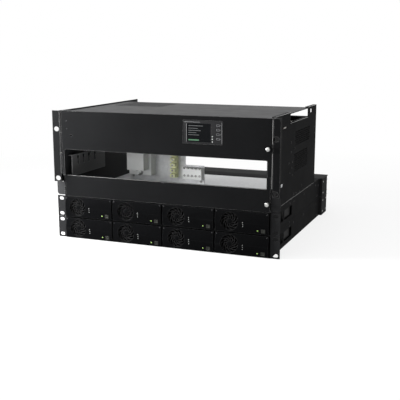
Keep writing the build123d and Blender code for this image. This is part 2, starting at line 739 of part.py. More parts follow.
def rear_rail():
    """Channel that ties the walls at the rear, open towards the front."""
    half = INNER_HALF - FIT_GAP
    bottom = RAIL_TOP - RAIL_HEIGHT
    rail = block(-half, half, RAIL_FRONT, RAIL_BACK, bottom, RAIL_TOP)
    return rail - block(
        -half - 1, half + 1, RAIL_FRONT - 1, RAIL_BACK - SHEET, bottom + SHEET, RAIL_TOP - SHEET
    )


def upper_ear(step):
    """Rack ear folded forward to the door's face: plate, web, step and wall flange."""
    bottom = CHASSIS_BASE + UPPER_EAR_BOTTOM
    inner = HALF_BODY + step
    front = -DOOR_DEPTH
    web = inner + EAR_SHEET
    ear = block(inner, HALF_EARS, front, front + EAR_SHEET, bottom, CHASSIS_TOP)
    ear += block(inner, web, front, EAR_SHEET, bottom, CHASSIS_TOP)
    ear += block(HALF_BODY, web, 0, EAR_SHEET, bottom, CHASSIS_TOP)
    ear += block(HALF_BODY, HALF_BODY + EAR_SHEET, 0, UPPER_EAR_FLANGE, bottom, CHASSIS_TOP)
    for height in UPPER_EAR_HOLES:
        ear -= along_y(
            SlotOverall(UPPER_EAR_HOLE_LENGTH, UPPER_EAR_HOLE_HEIGHT),
            EAR_HOLE_X, CHASSIS_BASE + height, front - 1, front + EAR_SHEET + 1,
        )
    return ear


def ear_upper_left():
    """Left ear, which also carries the chassis knuckles of the door's hinge."""
    ear = mirrored(upper_ear(LEFT_EAR_STEP_X))
    leaf_left = -HALF_BODY - LEFT_EAR_STEP_X - EAR_SHEET
    for piece in knuckles(
        DOOR_HINGE_X, DOOR_HINGE_Y, DOOR_BARREL, DOOR_HINGE_SPANS[0::2],
        (leaf_left, DOOR_HINGE_X), (DOOR_HINGE_Y - LEAF / 2, DOOR_HINGE_Y + LEAF / 2),
    ):
        ear += piece
    return ear - pin_bore(
        DOOR_HINGE_X, DOOR_HINGE_Y, DOOR_HINGE_SPANS[0][0], DOOR_HINGE_SPANS[-1][1]
    )


# Door, lower panel, their pins and thumb screws

def front_door():
    """Folded door: top strip with two legs beside the window, flanges, hinge and cut-outs."""
    left = DOOR_HINGE_X + DOOR_BARREL / 2 + FIT_GAP
    left_leg_bottom = PANEL_TOP + PANEL_GAP
    front = -DOOR_DEPTH
    skin = block(left, DOOR_RIGHT, front, DOOR_BACK, left_leg_bottom, CHASSIS_TOP)
    window = block(
        WINDOW_LEFT, WINDOW_RIGHT, front - 1, DOOR_BACK + 1, left_leg_bottom - 1, WINDOW_TOP
    )
    corners = [edge for edge in window.edges().filter_by(Axis.Y) if edge.center().Z > WINDOW_TOP - 1]
    skin -= fillet(corners, WINDOW_RADIUS)
    skin -= block(
        WINDOW_RIGHT - 1, DOOR_RIGHT + 1, front - 1, DOOR_BACK + 1,
        left_leg_bottom - 1, DOOR_LEG_BOTTOM,
    )
    flange_back = -DOOR_FLANGE_GAP
    skin += block(left, DOOR_RIGHT, front, flange_back, CHASSIS_TOP - SHEET, CHASSIS_TOP)
    skin += block(DOOR_RIGHT - SHEET, DOOR_RIGHT, front, flange_back, DOOR_LEG_BOTTOM, CHASSIS_TOP)
    skin -= block(
        DOOR_RIGHT - SHEET - 1, DOOR_RIGHT + 1, DOOR_BACK, flange_back + 1,
        DOOR_SCREW_Z - DOOR_FLANGE_BREAK / 2, DOOR_SCREW_Z + DOOR_FLANGE_BREAK / 2,
    )
    skin += block(
        WINDOW_LEFT + WINDOW_RADIUS, WINDOW_RIGHT - WINDOW_RADIUS,
        front, DOOR_BACK + WINDOW_HEM, WINDOW_TOP, WINDOW_TOP + SHEET,
    )
    for piece in knuckles(
        DOOR_HINGE_X, DOOR_HINGE_Y, DOOR_BARREL, DOOR_HINGE_SPANS[1::2],
        (DOOR_HINGE_X, left + SHEET), (DOOR_HINGE_Y - LEAF / 2, DOOR_BACK),
    ):
        skin += piece
    half_width = CONTROLLER_WIDTH / 2 + FIT_GAP
    half_height = CONTROLLER_HEIGHT / 2 + FIT_GAP
    skin -= block(
        CONTROLLER_X - half_width, CONTROLLER_X + half_width, front - 1, DOOR_BACK + 1,
        CONTROLLER_Z - half_height, CONTROLLER_Z + half_height,
    )
    skin -= along_y(
        bore_section(SPY_HOLE), SPY_HOLE_X, CHASSIS_TOP - SPY_HOLE_FROM_TOP,
        front - 1, DOOR_BACK + 1,
    )
    skin -= along_y(
        bore_section(SCREW_SHANK + 2 * SHAFT_GAP), DOOR_SCREW_X, DOOR_SCREW_Z,
        front - 1, DOOR_BACK + 1,
    )
    return skin - pin_bore(
        DOOR_HINGE_X, DOOR_HINGE_Y, DOOR_HINGE_SPANS[0][0], DOOR_HINGE_SPANS[-1][1]
    )


def lower_panel():
    """Folded panel under the window, with a leg up its right side and a notched top fold."""
    left = PANEL_HINGE_X + PANEL_BARREL / 2 + FIT_GAP
    front = -PANEL_FACE
    fold_back = PANEL_BACK + PANEL_FOLD
    leg_left = PANEL_RIGHT - PANEL_LEG_WIDTH
    panel = block(left, PANEL_RIGHT, front, PANEL_BACK, PANEL_BOTTOM, PANEL_TOP)
    panel += block(leg_left, PANEL_RIGHT, front, PANEL_BACK, PANEL_BOTTOM, PANEL_LEG_TOP)
    panel += block(left + PANEL_FOLD, PANEL_RIGHT, front, fold_back, PANEL_TOP - SHEET, PANEL_TOP)
    panel += block(
        PANEL_RIGHT - SHEET, PANEL_RIGHT, front, fold_back, PANEL_BOTTOM, PANEL_LEG_TOP
    )
    for middle, width in PANEL_NOTCHES:
        panel -= block(
            middle - width / 2, middle + width / 2, front - 1, front + PANEL_NOTCH_DEPTH,
            PANEL_TOP - PANEL_NOTCH_DEPTH, PANEL_TOP + 1,
        )
    for piece in knuckles(
        PANEL_HINGE_X, PANEL_HINGE_Y, PANEL_BARREL, PANEL_HINGE_SPANS[1::2],
        (PANEL_HINGE_X, left + SHEET), (PANEL_HINGE_Y - LEAF / 2, PANEL_HINGE_Y + LEAF / 2),
    ):
        panel += piece
    panel -= along_y(
        bore_section(SCREW_SHANK + 2 * SHAFT_GAP), PANEL_SCREW_X, PANEL_SCREW_Z,
        front - 1, PANEL_BACK + 1,
    )
    return panel - pin_bore(
        PANEL_HINGE_X, PANEL_HINGE_Y, PANEL_HINGE_SPANS[0][0], PANEL_HINGE_SPANS[-1][1]
    )


def hinge_pin(x, y, spans):
    return along_z(bar_section(PIN), x, y, spans[0][0], spans[-1][1])


def thumb_screw(x, z, face, back, catch_back):
    """Captive screw: grip knob in front of the sheet, collar behind it, shank into the catch."""
    knob_back = face - FIT_GAP
    knob = along_y(RegularPolygon(KNOB / 2, KNOB_SIDES), x, z, knob_back - KNOB_LENGTH, knob_back)
    shank = along_y(bar_section(SCREW_SHANK), x, z, knob_back - 1, catch_back + SCREW_REACH)
    collar_front = back + FIT_GAP
    collar = along_y(
        bar_section(SCREW_COLLAR), x, z, collar_front, collar_front + SCREW_COLLAR_LENGTH
    )
    return knob + shank + collar


# Controller in the door

CONTROLLER_FACE = -DOOR_DEPTH + CONTROLLER_RECESS
CONTROLLER_LEFT = CONTROLLER_X - CONTROLLER_WIDTH / 2
CONTROLLER_BOTTOM = CONTROLLER_Z - CONTROLLER_HEIGHT / 2
BUTTON_X = CONTROLLER_X + CONTROLLER_WIDTH / 2 - BUTTON_FROM_RIGHT


def button_heights():
    lowest = CONTROLLER_BOTTOM + BUTTON_LOWEST
    return [lowest + number * BUTTON_PITCH for number in range(BUTTON_COUNT)]


def controller_case():
    """Controller housing with a rim behind the door's sheet and pockets for screen and buttons."""
    right = CONTROLLER_LEFT + CONTROLLER_WIDTH
    top = CONTROLLER_BOTTOM + CONTROLLER_HEIGHT
    case = block(
        CONTROLLER_LEFT, right, CONTROLLER_FACE, CONTROLLER_FACE + CONTROLLER_DEPTH,
        CONTROLLER_BOTTOM, top,
    )
    case += block(
        CONTROLLER_LEFT - CONTROLLER_RIM, right + CONTROLLER_RIM, DOOR_BACK, DOOR_BACK + SHEET,
        CONTROLLER_BOTTOM - CONTROLLER_RIM, top + CONTROLLER_RIM,
    )
    case -= block(
        CONTROLLER_LEFT + SCREEN_LEFT - FIT_GAP,
        CONTROLLER_LEFT + SCREEN_LEFT + SCREEN_WIDTH + FIT_GAP,
        CONTROLLER_FACE - 1, CONTROLLER_FACE + SCREEN_RECESS,
        CONTROLLER_BOTTOM + SCREEN_BOTTOM - FIT_GAP,
        CONTROLLER_BOTTOM + SCREEN_BOTTOM + SCREEN_HEIGHT + FIT_GAP,
    )
    pocket_back = CONTROLLER_FACE - BUTTON_PROUD + BUTTON_LENGTH + BUTTON_TRAVEL + FIT_GAP
    for z in button_heights():
        case -= block(
            BUTTON_X - BUTTON_WIDTH / 2 - FIT_GAP, BUTTON_X + BUTTON_WIDTH / 2 + FIT_GAP,
            CONTROLLER_FACE - 1, pocket_back,
            z - BUTTON_HEIGHT / 2 - FIT_GAP, z + BUTTON_HEIGHT / 2 + FIT_GAP,
        )
    return case


def controller_screen():
    left = CONTROLLER_LEFT + SCREEN_LEFT
    bottom = CONTROLLER_BOTTOM + SCREEN_BOTTOM
    back = CONTROLLER_FACE + SCREEN_RECESS
    return block(
        left, left + SCREEN_WIDTH, back - SCREEN_THICKNESS, back, bottom, bottom + SCREEN_HEIGHT
    )


def controller_button(z):
    front = CONTROLLER_FACE - BUTTON_PROUD
    button = block(
        BUTTON_X - BUTTON_WIDTH / 2, BUTTON_X + BUTTON_WIDTH / 2, front, front + BUTTON_LENGTH,
        z - BUTTON_HEIGHT / 2, z + BUTTON_HEIGHT / 2,
    )
    return chamfer(button.faces().sort_by(Axis.Y)[0].edges(), BUTTON_PROUD / 2)


# Equipment in the bay

def cable_bracket():
    """C-shaped bracket on the left wall with keyholes for cable clips."""
    wall = -INNER_HALF + FIT_GAP
    web = wall + BRACKET_DEPTH
    bottom = CHASSIS_BASE + BRACKET_BOTTOM
    top = CHASSIS_BASE + BRACKET_TOP
    bracket = block(wall, web, BRACKET_FRONT, BRACKET_REAR, bottom, top)
    bracket -= block(
        wall - 1, web - SHEET, BRACKET_FRONT - 1, BRACKET_REAR + 1, bottom + SHEET, top - SHEET
    )
    high = CHASSIS_BASE + KEYHOLE_HEIGHT
    low = CHASSIS_BASE + KEYHOLE_TAIL_BOTTOM
    for y in KEYHOLE_YS:
        bracket -= along_x(bore_section(KEYHOLE), y, high, web - SHEET - 1, web + 1)
        bracket -= block(
            web - SHEET - 1, web + 1, y - KEYHOLE_TAIL / 2, y + KEYHOLE_TAIL / 2, low, high
        )
    return bracket


def mounting_plate():
    """Stepped plate that stands on the bay floor and carries the terminals and the contactor."""
    step = FLOOR_TOP + PLATE_STEP_HEIGHT
    top = FLOOR_TOP + PLATE_HEIGHT
    face = outline([
        (PLATE_LEFT, FLOOR_TOP), (PLATE_RIGHT, FLOOR_TOP), (PLATE_RIGHT, step),
        (PLATE_STEP_X, step), (PLATE_STEP_X, top), (PLATE_LEFT, top),
    ])
    plate = extrude(seen_from_front(0, 0, PLATE_Y + SHEET) * face, SHEET)
    return plate + block(
        PLATE_LEFT, PLATE_RIGHT, PLATE_Y, PLATE_Y + PLATE_FOOT, FLOOR_TOP, FLOOR_TOP + SHEET
    )


def terminal_block():
    """Row of screw terminals with a V over each wire entry."""
    bottom = FLOOR_TOP + TERMINAL_FOOT
    top = bottom + TERMINAL_HEIGHT
    pitch = (PLATE_RIGHT - PLATE_STEP_X) / TERMINAL_TEETH
    points = [(PLATE_STEP_X, bottom)]
    for number in range(TERMINAL_TEETH):
        left = PLATE_STEP_X + number * pitch
        points.append((left, top))
        points.append((left + pitch / 2, top - pitch / 2))
    points += [(PLATE_RIGHT, top), (PLATE_RIGHT, bottom)]
    return extrude(seen_from_front(0, 0, PLATE_Y) * outline(points), TERMINAL_DEPTH)


def earth_terminals():
    """Stack of earth terminals, stepped like the real clamps."""
    bottom = FLOOR_TOP + TERMINAL_FOOT
    left = EARTH_X - EARTH_WIDTH / 2
    stack = block(
        left, left + EARTH_WIDTH, PLATE_Y - EARTH_DEPTH / 2, PLATE_Y, bottom, bottom + EARTH_HEIGHT
    )
    pitch = EARTH_HEIGHT / EARTH_STEPS
    for number in range(EARTH_STEPS):
        low = bottom + number * pitch
        stack += block(
            left, left + EARTH_WIDTH, PLATE_Y - EARTH_DEPTH, PLATE_Y - EARTH_DEPTH / 2 + 1,
            low + pitch / 6, low + pitch * 5 / 6,
        )
    return stack


def contactor():
    """Battery contactor: base block, raised coil housing and two power studs."""
    bottom = FLOOR_TOP + CONTACTOR_FOOT
    top = bottom + CONTACTOR_HEIGHT
    right = CONTACTOR_LEFT + CONTACTOR_WIDTH
    base_front = PLATE_Y - CONTACTOR_DEPTH / 2
    body = block(CONTACTOR_LEFT, right, base_front, PLATE_Y, bottom, top)
    body += block(
        CONTACTOR_LEFT + CONTACTOR_INSET, right - CONTACTOR_INSET,
        PLATE_Y - CONTACTOR_DEPTH, base_front + 1, bottom + CONTACTOR_STEP, top - CONTACTOR_STEP,
    )
    middle = (CONTACTOR_LEFT + right) / 2
    for z in (bottom + CONTACTOR_INSET, top - CONTACTOR_INSET):
        body += along_y(bar_section(STUD), middle, z, base_front - STUD_LENGTH, base_front + 1)
    return body


BUSBAR_BOTTOM = CHASSIS_TOP - BUSBAR_FROM_TOP - BUSBAR_HEIGHT
HOLDER_FRONT = RAIL_FRONT - HOLDER_DEPTH


def busbar_front(number):
    return HOLDER_FRONT + HOLDER_WALL + number * BUSBAR_PITCH


def busbar(number):
    """Flat bar with a row of bolt holes."""
    front = busbar_front(number)
    half = BUSBAR_LENGTH / 2
    bar = block(
        -half, half, front, front + BUSBAR_THICKNESS, BUSBAR_BOTTOM, BUSBAR_BOTTOM + BUSBAR_HEIGHT
    )
    middle = BUSBAR_BOTTOM + BUSBAR_HEIGHT / 2
    first = -(BUSBAR_HOLES - 1) / 2 * BUSBAR_HOLE_PITCH
    return bar - [
        along_y(
            bore_section(BUSBAR_HOLE), first + index * BUSBAR_HOLE_PITCH, middle,
            front - 1, front + BUSBAR_THICKNESS + 1,
        )
        for index in range(BUSBAR_HOLES)
    ]


def busbar_holder(x):
    """Insulating comb on the rear rail, with an upright slot for each bar."""
    top = CHASSIS_TOP - HOLDER_TOP
    left = x - HOLDER_WIDTH / 2
    right = x + HOLDER_WIDTH / 2
    comb = block(left, right, HOLDER_FRONT, RAIL_FRONT, BUSBAR_BOTTOM - HOLDER_FOOT, top)
    for number in range(2):
        front = busbar_front(number)
        comb -= block(
            left - 1, right + 1, front - FIT_GAP, front + BUSBAR_THICKNESS + FIT_GAP,
            BUSBAR_BOTTOM, top + 1,
        )
    return comb


def all_pieces():
    """Every piece of the power system by name, in the ears' frame."""
    pieces = {
        "shelf_lower": shelf(0),
        "shelf_upper": shelf(RACK_UNIT),
        "rear_box_lower": rear_box(0, False),
        "rear_box_upper": rear_box(RACK_UNIT, True),
        "backplane_lower": backplane(0),
        "backplane_upper": backplane(RACK_UNIT),
        "side_plate_left": side_plate_left(),
        "side_plate_right": side_plate_right(),
        "bay_floor": bay_floor(),
        "top_cover": top_cover(),
        "rear_rail": rear_rail(),
        "ear_upper_left": ear_upper_left(),
        "ear_upper_right": upper_ear(UPPER_EAR_STEP_X),
        "front_door": front_door(),
        "lower_panel": lower_panel(),
        "hinge_pin_upper": hinge_pin(DOOR_HINGE_X, DOOR_HINGE_Y, DOOR_HINGE_SPANS),
        "hinge_pin_lower": hinge_pin(PANEL_HINGE_X, PANEL_HINGE_Y, PANEL_HINGE_SPANS),
        "thumb_screw_upper": thumb_screw(
            DOOR_SCREW_X, DOOR_SCREW_Z, -DOOR_DEPTH, DOOR_BACK, SHEET
        ),
        "thumb_screw_lower": thumb_screw(
            PANEL_SCREW_X, PANEL_SCREW_Z, -PANEL_FACE, PANEL_BACK, FLOOR_LIP_Y + SHEET
        ),
        "controller_case": controller_case(),
        "controller_screen": controller_screen(),
        "cable_bracket": cable_bracket(),
        "mounting_plate": mounting_plate(),
        "terminal_block": terminal_block(),
        "earth_terminals": earth_terminals(),
        "contactor": contactor(),
        "busbar_plus": busbar(0),
        "busbar_minus": busbar(1),
        "busbar_holder_left": busbar_holder(-HOLDER_X),
        "busbar_holder_right": busbar_holder(HOLDER_X),
    }
    for number, z in enumerate(button_heights(), start=1):
        pieces[f"controller_button_{number}"] = controller_button(z)
    case, rotor, latch = rectifier_case(), rectifier_rotor(), rectifier_latch()
    for number, spot in rectifier_places():
        pieces[f"rectifier_{number}_case"] = spot * case
        pieces[f"rectifier_{number}_rotor"] = spot * rotor
        pieces[f"rectifier_{number}_latch"] = spot * latch
    return pieces


os.makedirs("parts", exist_ok=True)
for name, piece in all_pieces().items():
    export_step(place(piece), f"parts/{name}.step")
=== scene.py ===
import json
import math

import bmesh
import bpy
import numpy as np
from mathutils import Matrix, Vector

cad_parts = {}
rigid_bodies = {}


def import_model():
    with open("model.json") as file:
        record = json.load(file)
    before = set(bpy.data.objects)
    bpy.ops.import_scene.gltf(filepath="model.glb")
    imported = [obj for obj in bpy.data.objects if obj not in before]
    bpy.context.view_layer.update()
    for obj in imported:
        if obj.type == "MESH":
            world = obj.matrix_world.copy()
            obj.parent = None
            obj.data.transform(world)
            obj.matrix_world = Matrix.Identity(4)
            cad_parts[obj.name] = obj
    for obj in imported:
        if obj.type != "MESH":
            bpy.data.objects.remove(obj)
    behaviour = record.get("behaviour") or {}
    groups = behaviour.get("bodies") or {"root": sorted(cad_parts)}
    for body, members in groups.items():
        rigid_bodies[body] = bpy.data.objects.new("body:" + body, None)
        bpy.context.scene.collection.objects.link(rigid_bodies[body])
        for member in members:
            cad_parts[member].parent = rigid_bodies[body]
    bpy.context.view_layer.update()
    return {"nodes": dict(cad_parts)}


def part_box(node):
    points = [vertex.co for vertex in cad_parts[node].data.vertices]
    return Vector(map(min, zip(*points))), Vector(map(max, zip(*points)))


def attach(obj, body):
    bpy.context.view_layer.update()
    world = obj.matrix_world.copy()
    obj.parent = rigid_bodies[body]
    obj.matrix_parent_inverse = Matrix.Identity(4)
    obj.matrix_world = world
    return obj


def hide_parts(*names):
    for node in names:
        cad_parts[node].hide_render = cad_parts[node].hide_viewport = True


# Looks of a six-unit rack power system: two rectifier shelves under a distribution chassis.
# Lengths written in millimetres are turned into metres by spots(), which also moves them from
# the plane of the shelf ears to the part's own origin.

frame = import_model()
nodes = frame["nodes"]

MM = 0.001
EARS_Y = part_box("shelf_lower")[0].y
WALL_X = 223.5
COVER_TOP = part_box("top_cover")[1].z / MM
SHEET = 1.5
MODULES = range(1, 9)
BUTTONS = range(1, 5)

# Camera, at the photograph's viewing angle
CAMERA_EYE = (0.611, -1.552, 0.399)
CAMERA_AZIMUTH = 21.82
CAMERA_ELEVATION = 11.72
CAMERA_LENS = 67.8
CAMERA_SENSOR = 36.0


def spots(points):
    """Points in metres for millimetres from the middle, the plane of the shelf ears and the floor."""
    return np.asarray(points, float) * MM + np.array([0.0, EARS_Y, 0.0])


# Finishes

class Finish:
    """A procedural material: one Principled shader fed by patterns in Object coordinates."""

    def __init__(self, name, colour, roughness=0.5, metallic=0.0, specular=0.5, coat=0.0):
        self.material = bpy.data.materials.new(name)
        self.material.use_nodes = True
        self.material.diffuse_color = (*colour, 1.0)
        self.tree = self.material.node_tree
        self.shader = self.tree.nodes["Principled BSDF"]
        self.set("Base Color", (*colour, 1.0))
        self.set("Roughness", roughness)
        self.set("Metallic", metallic)
        self.set("Specular IOR Level", specular)
        self.set("Coat Weight", coat)
        self.place = self.add("ShaderNodeTexCoord").outputs["Object"]

    def set(self, socket, value):
        """Gives a socket of the shader a value, or links a pattern to it."""
        target = self.shader.inputs[socket]
        if isinstance(value, bpy.types.NodeSocket):
            self.tree.links.new(value, target)
        else:
            target.default_value = value

    def add(self, kind, links=None, **settings):
        """New node with its settings, and values or patterns for its inputs by name or number."""
        node = self.tree.nodes.new(kind)
        for key, value in settings.items():
            setattr(node, key, value)
        for key, value in (links or {}).items():
            if isinstance(value, bpy.types.NodeSocket):
                self.tree.links.new(value, node.inputs[key])
            else:
                node.inputs[key].default_value = value
        return node

    def noise(self, scale, detail=2.0, roughness=0.5, stretch=(1, 1, 1)):
        """Cloudy pattern with this many cells to the metre."""
        place = self.add("ShaderNodeMapping", {"Vector": self.place, "Scale": stretch}).outputs[0]
        return self.add("ShaderNodeTexNoise", {
            "Vector": place, "Scale": scale, "Detail": detail, "Roughness": roughness,
        }).outputs["Fac"]

    def cells(self, scale):
        """Pattern of flat cells, each of one random shade."""
        return self.add(
            "ShaderNodeTexVoronoi", {"Vector": self.place, "Scale": scale}
        ).outputs["Color"]

    def spread(self, pattern, low, high):
        """Pattern from 0 to 1 moved to the range between two values."""
        return self.add("ShaderNodeMapRange", {
            "Value": pattern, "To Min": low, "To Max": high,
        }, clamp=True).outputs["Result"]

    def blend(self, pattern, low, high):
        """Colour between two, by a pattern."""
        node = self.add("ShaderNodeMix", data_type="RGBA")
        for socket, value in (("Factor", pattern), ("A", low), ("B", high)):
            target = [s for s in node.inputs if s.name == socket and s.enabled][0]
            if isinstance(value, bpy.types.NodeSocket):
                self.tree.links.new(value, target)
            elif socket == "Factor":
                target.default_value = value
            else:
                target.default_value = (*value, 1.0)
        return [s for s in node.outputs if s.enabled][0]

    def bump(self, height, distance, strength=1.0, under=None):
        """Normal of a relief of this depth in metres, over another normal where one is given."""
        links = {"Height": height, "Distance": distance, "Strength": strength}
        if under is not None:
            links["Normal"] = under
        return self.add("ShaderNodeBump", links).outputs["Normal"]

    def axis(self, name):
        """One of the Object coordinates, in metres."""
        return self.add("ShaderNodeSeparateXYZ", {0: self.place}).outputs[name]

    def maths(self, operation, a, b=0.0):
        """Result of one operation on two patterns or values."""
        return self.add("ShaderNodeMath", {0: a, 1: b}, operation=operation).outputs[0]


def paint_edge_highlight(finish, colour, highlight_grey, radius=0.0008):
    """Colour that turns to a lighter grey, a painted highlight, where a rounded normal leaves the flat
    one, at an edge.
    """
    rounded = finish.add("ShaderNodeBevel", {"Radius": radius}, samples=4).outputs[0]
    flat = finish.add("ShaderNodeNewGeometry").outputs["True Normal"]
    along = finish.add("ShaderNodeVectorMath", {0: rounded, 1: flat}, operation="DOT_PRODUCT")
    # Painted highlight mask: it rises where the bevelled normal turns away from the flat one.
    painted_highlight = finish.add("ShaderNodeMapRange", {
        "Value": along.outputs["Value"], "From Min": 0.995, "From Max": 0.86,
        "To Min": 0.0, "To Max": 1.0,
    }, clamp=True).outputs["Result"]
    patchy = finish.maths("MULTIPLY", painted_highlight, finish.spread(finish.noise(70, 3.0), 0.55, 1.0))
    return finish.blend(patchy, colour, (highlight_grey,) * 3)


def powder_coat(name, colour, grain, roughness, specular, painted_highlight):
    """Fine textured powder paint: small soft bumps, faint dust, a painted highlight along edges, uneven
    gloss.

    grain is the factor on the bumps' depth, and the last argument is the grey of the painted highlight
    along its edges.
    """
    finish = Finish(name, colour, roughness, specular=specular)
    fine = finish.noise(1500, 2.0)
    coarse = finish.noise(420, 2.0)
    relief = finish.bump(coarse, 0.00006 * grain, 0.5)
    finish.set("Normal", finish.bump(fine, 0.00004 * grain, 0.5, relief))
    dust = finish.spread(finish.noise(9, 4.0, 0.6), 0.0, 1.0)
    light = tuple(min(1.0, part * 1.35 + 0.0004) for part in colour)
    dark = tuple(part * 0.85 for part in colour)
    # Edges get a painted highlight: a lighter grey where the bevel normal turns.
    finish.set("Base Color", paint_edge_highlight(finish, finish.blend(dust, dark, light), painted_highlight))
    finish.set("Roughness", finish.spread(finish.noise(30, 3.0), roughness - 0.05, roughness + 0.08))
    return finish.material


def moulded(name, colour, roughness=0.42, specular=0.3):
    """Moulded plastic with a fine spark-eroded grain."""
    finish = Finish(name, colour, roughness, specular=specular)
    finish.set("Normal", finish.bump(finish.noise(2200, 2.0), 0.00003, 0.4))
    light = tuple(min(1.0, part * 1.15 + 0.001) for part in colour)
    finish.set("Base Color", finish.blend(finish.noise(25, 3.0), colour, light))
    finish.set("Roughness", finish.spread(finish.noise(60, 2.0), roughness - 0.04, roughness + 0.06))
    return finish.material


def plated(name, colour, roughness=0.3, brushed=(1, 1, 1), scale=600):
    """Bright plated metal with fine drawn marks."""
    finish = Finish(name, colour, roughness, metallic=1.0)
    marks = finish.noise(scale, 3.0, 0.6, brushed)
    finish.set("Normal", finish.bump(marks, 0.00003, 0.35))
    finish.set("Roughness", finish.spread(marks, roughness - 0.08, roughness + 0.12))
    darker = tuple(part * 0.82 for part in colour)
    finish.set("Base Color", finish.blend(finish.noise(40, 2.0), darker, colour))
    return finish.material


def galvanised(name):
    """Zinc-coated sheet: large faceted spangles that differ a little in grey and gloss."""
    finish = Finish(name, (0.7, 0.71, 0.72), 0.42, metallic=0.15)
    spangle = finish.cells(160)
    finish.set("Base Color", finish.blend(spangle, (0.6, 0.61, 0.625), (0.72, 0.73, 0.74)))
    finish.set("Roughness", finish.spread(spangle, 0.4, 0.55))
    finish.set("Normal", finish.bump(finish.noise(500, 2.0), 0.00003, 0.3))
    return finish.material


def circuit_board(name):
    """Solder resist over copper: green lacquer with faint straight tracks."""
    finish = Finish(name, (0.015, 0.12, 0.05), 0.35, specular=0.5, coat=0.3)
    along = finish.axis("X")
    tracks = finish.maths("SINE", finish.maths("MULTIPLY", along, 900.0))
    finish.set("Base Color", finish.blend(
        finish.spread(tracks, 0.0, 1.0), (0.012, 0.1, 0.04), (0.02, 0.17, 0.07)
    ))
    finish.set("Normal", finish.bump(tracks, 0.00003, 0.3))
    return finish.material


def glowing(name, colour, strength):
    """Lit display or lamp: its own colour, a little uneven over its face."""
    finish = Finish(name, colour, 0.35, specular=0.5)
    finish.set("Emission Color", finish.blend(
        finish.noise(300, 2.0), tuple(part * 0.8 for part in colour), colour
    ))
    finish.set("Emission Strength", strength)
    return finish.material


def display_glass(name):
    """Dark display window with a faint grid of cells behind its surface."""
    finish = Finish(name, (0.002, 0.0022, 0.0026), 0.22, specular=0.04)
    cells = finish.maths("MULTIPLY", finish.maths(
        "SINE", finish.maths("MULTIPLY", finish.axis("X"), 9000.0)
    ), finish.maths("SINE", finish.maths("MULTIPLY", finish.axis("Z"), 9000.0)))
    finish.set("Base Color", finish.blend(
        finish.spread(cells, 0.0, 1.0), (0.0015, 0.0017, 0.002), (0.003, 0.0034, 0.004)
    ))
    return finish.material


# The last number of each coat is the grey of its painted edge highlight.
FRONT_COAT = powder_coat("black_powder_coat", (0.0033, 0.0034, 0.0036), 1.0, 0.42, 0.008, 0.1)
SIDE_COAT = powder_coat("side_powder_coat", (0.0085, 0.0086, 0.009), 1.0, 0.5, 0.003, 0.015)
BRACKET_COAT = powder_coat("bracket_powder_coat", (0.08, 0.081, 0.082), 1.0, 0.42, 0.1, 0.4)
COVER_COAT = powder_coat("cover_powder_coat", (0.014, 0.0142, 0.0148), 0.8, 0.5, 0.03, 0.014)
GREY_COAT = powder_coat("rear_box_powder_coat", (0.014, 0.0142, 0.0148), 1.0, 0.5, 0.006, 0.1)
MODULE_BLACK = powder_coat("rectifier_black", (0.0011, 0.00115, 0.0013), 0.7, 0.3, 0.009, 0.02)
GUARD_BLACK = powder_coat("fan_guard", (0.0055, 0.0055, 0.0058), 0.6, 0.36, 0.015, 0.02)
FAN_BLACK = moulded("fan_plastic", (0.0015, 0.0015, 0.0016), 0.4, 0.01)
LATCH_METAL = plated("latch_metal", (0.03, 0.031, 0.028), 0.36)
ZINC = galvanised("zinc_plate")
STEEL = plated("steel", (0.42, 0.42, 0.41), 0.3, (1, 8, 1))
BLACK_SCREW = plated("black_screws", (0.022, 0.022, 0.023), 0.42)
# Plated grey for the thin strips that paint highlights on sheet edges.
HIGHLIGHT_STRIP = plated("highlight_strip_metal", (0.3, 0.3, 0.295), 0.4)
BOARD = circuit_board("circuit_board")
HOUSING = moulded("controller_plastic", (0.007, 0.007, 0.0075), 0.4, 0.05)
GLASS = display_glass("screen_glass")
BUTTON_GREY = moulded("button_plastic", (0.012, 0.012, 0.013), 0.42, 0.06)
PALE_PLASTIC = moulded("grey_plastic", (0.72, 0.73, 0.72), 0.45)
EARTH_PLASTIC = moulded("earth_plastic", (0.68, 0.7, 0.42), 0.45)
TINNED = plated("tinned_copper", (0.75, 0.73, 0.69), 0.32, (1, 6, 6), 300)
RED_PLASTIC = moulded("red_insulator", (0.36, 0.035, 0.02), 0.45)

NODE_FINISH = {
    "shelf_lower": SIDE_COAT, "shelf_upper": SIDE_COAT, "rear_box_lower": GREY_COAT,
    "rear_box_upper": GREY_COAT, "backplane_lower": BOARD, "backplane_upper": BOARD,
    "side_plate_left": COVER_COAT, "side_plate_right": SIDE_COAT, "bay_floor": ZINC,
    "top_cover": COVER_COAT, "rear_rail": SIDE_COAT, "ear_upper_left": FRONT_COAT,
    "ear_upper_right": FRONT_COAT, "front_door": FRONT_COAT, "lower_panel": FRONT_COAT,
    "hinge_pin_upper": STEEL, "hinge_pin_lower": STEEL, "thumb_screw_upper": STEEL,
    "thumb_screw_lower": STEEL, "controller_case": HOUSING, "controller_screen": GLASS,
    "cable_bracket": BRACKET_COAT, "mounting_plate": ZINC, "terminal_block": PALE_PLASTIC,
    "earth_terminals": EARTH_PLASTIC, "contactor": PALE_PLASTIC, "busbar_plus": TINNED,
    "busbar_minus": TINNED, "busbar_holder_left": RED_PLASTIC,
    "busbar_holder_right": RED_PLASTIC,
}
for number in MODULES:
    NODE_FINISH[f"rectifier_{number}_case"] = MODULE_BLACK
    NODE_FINISH[f"rectifier_{number}_rotor"] = FAN_BLACK
    NODE_FINISH[f"rectifier_{number}_latch"] = LATCH_METAL
for number in BUTTONS:
    NODE_FINISH[f"controller_button_{number}"] = BUTTON_GREY


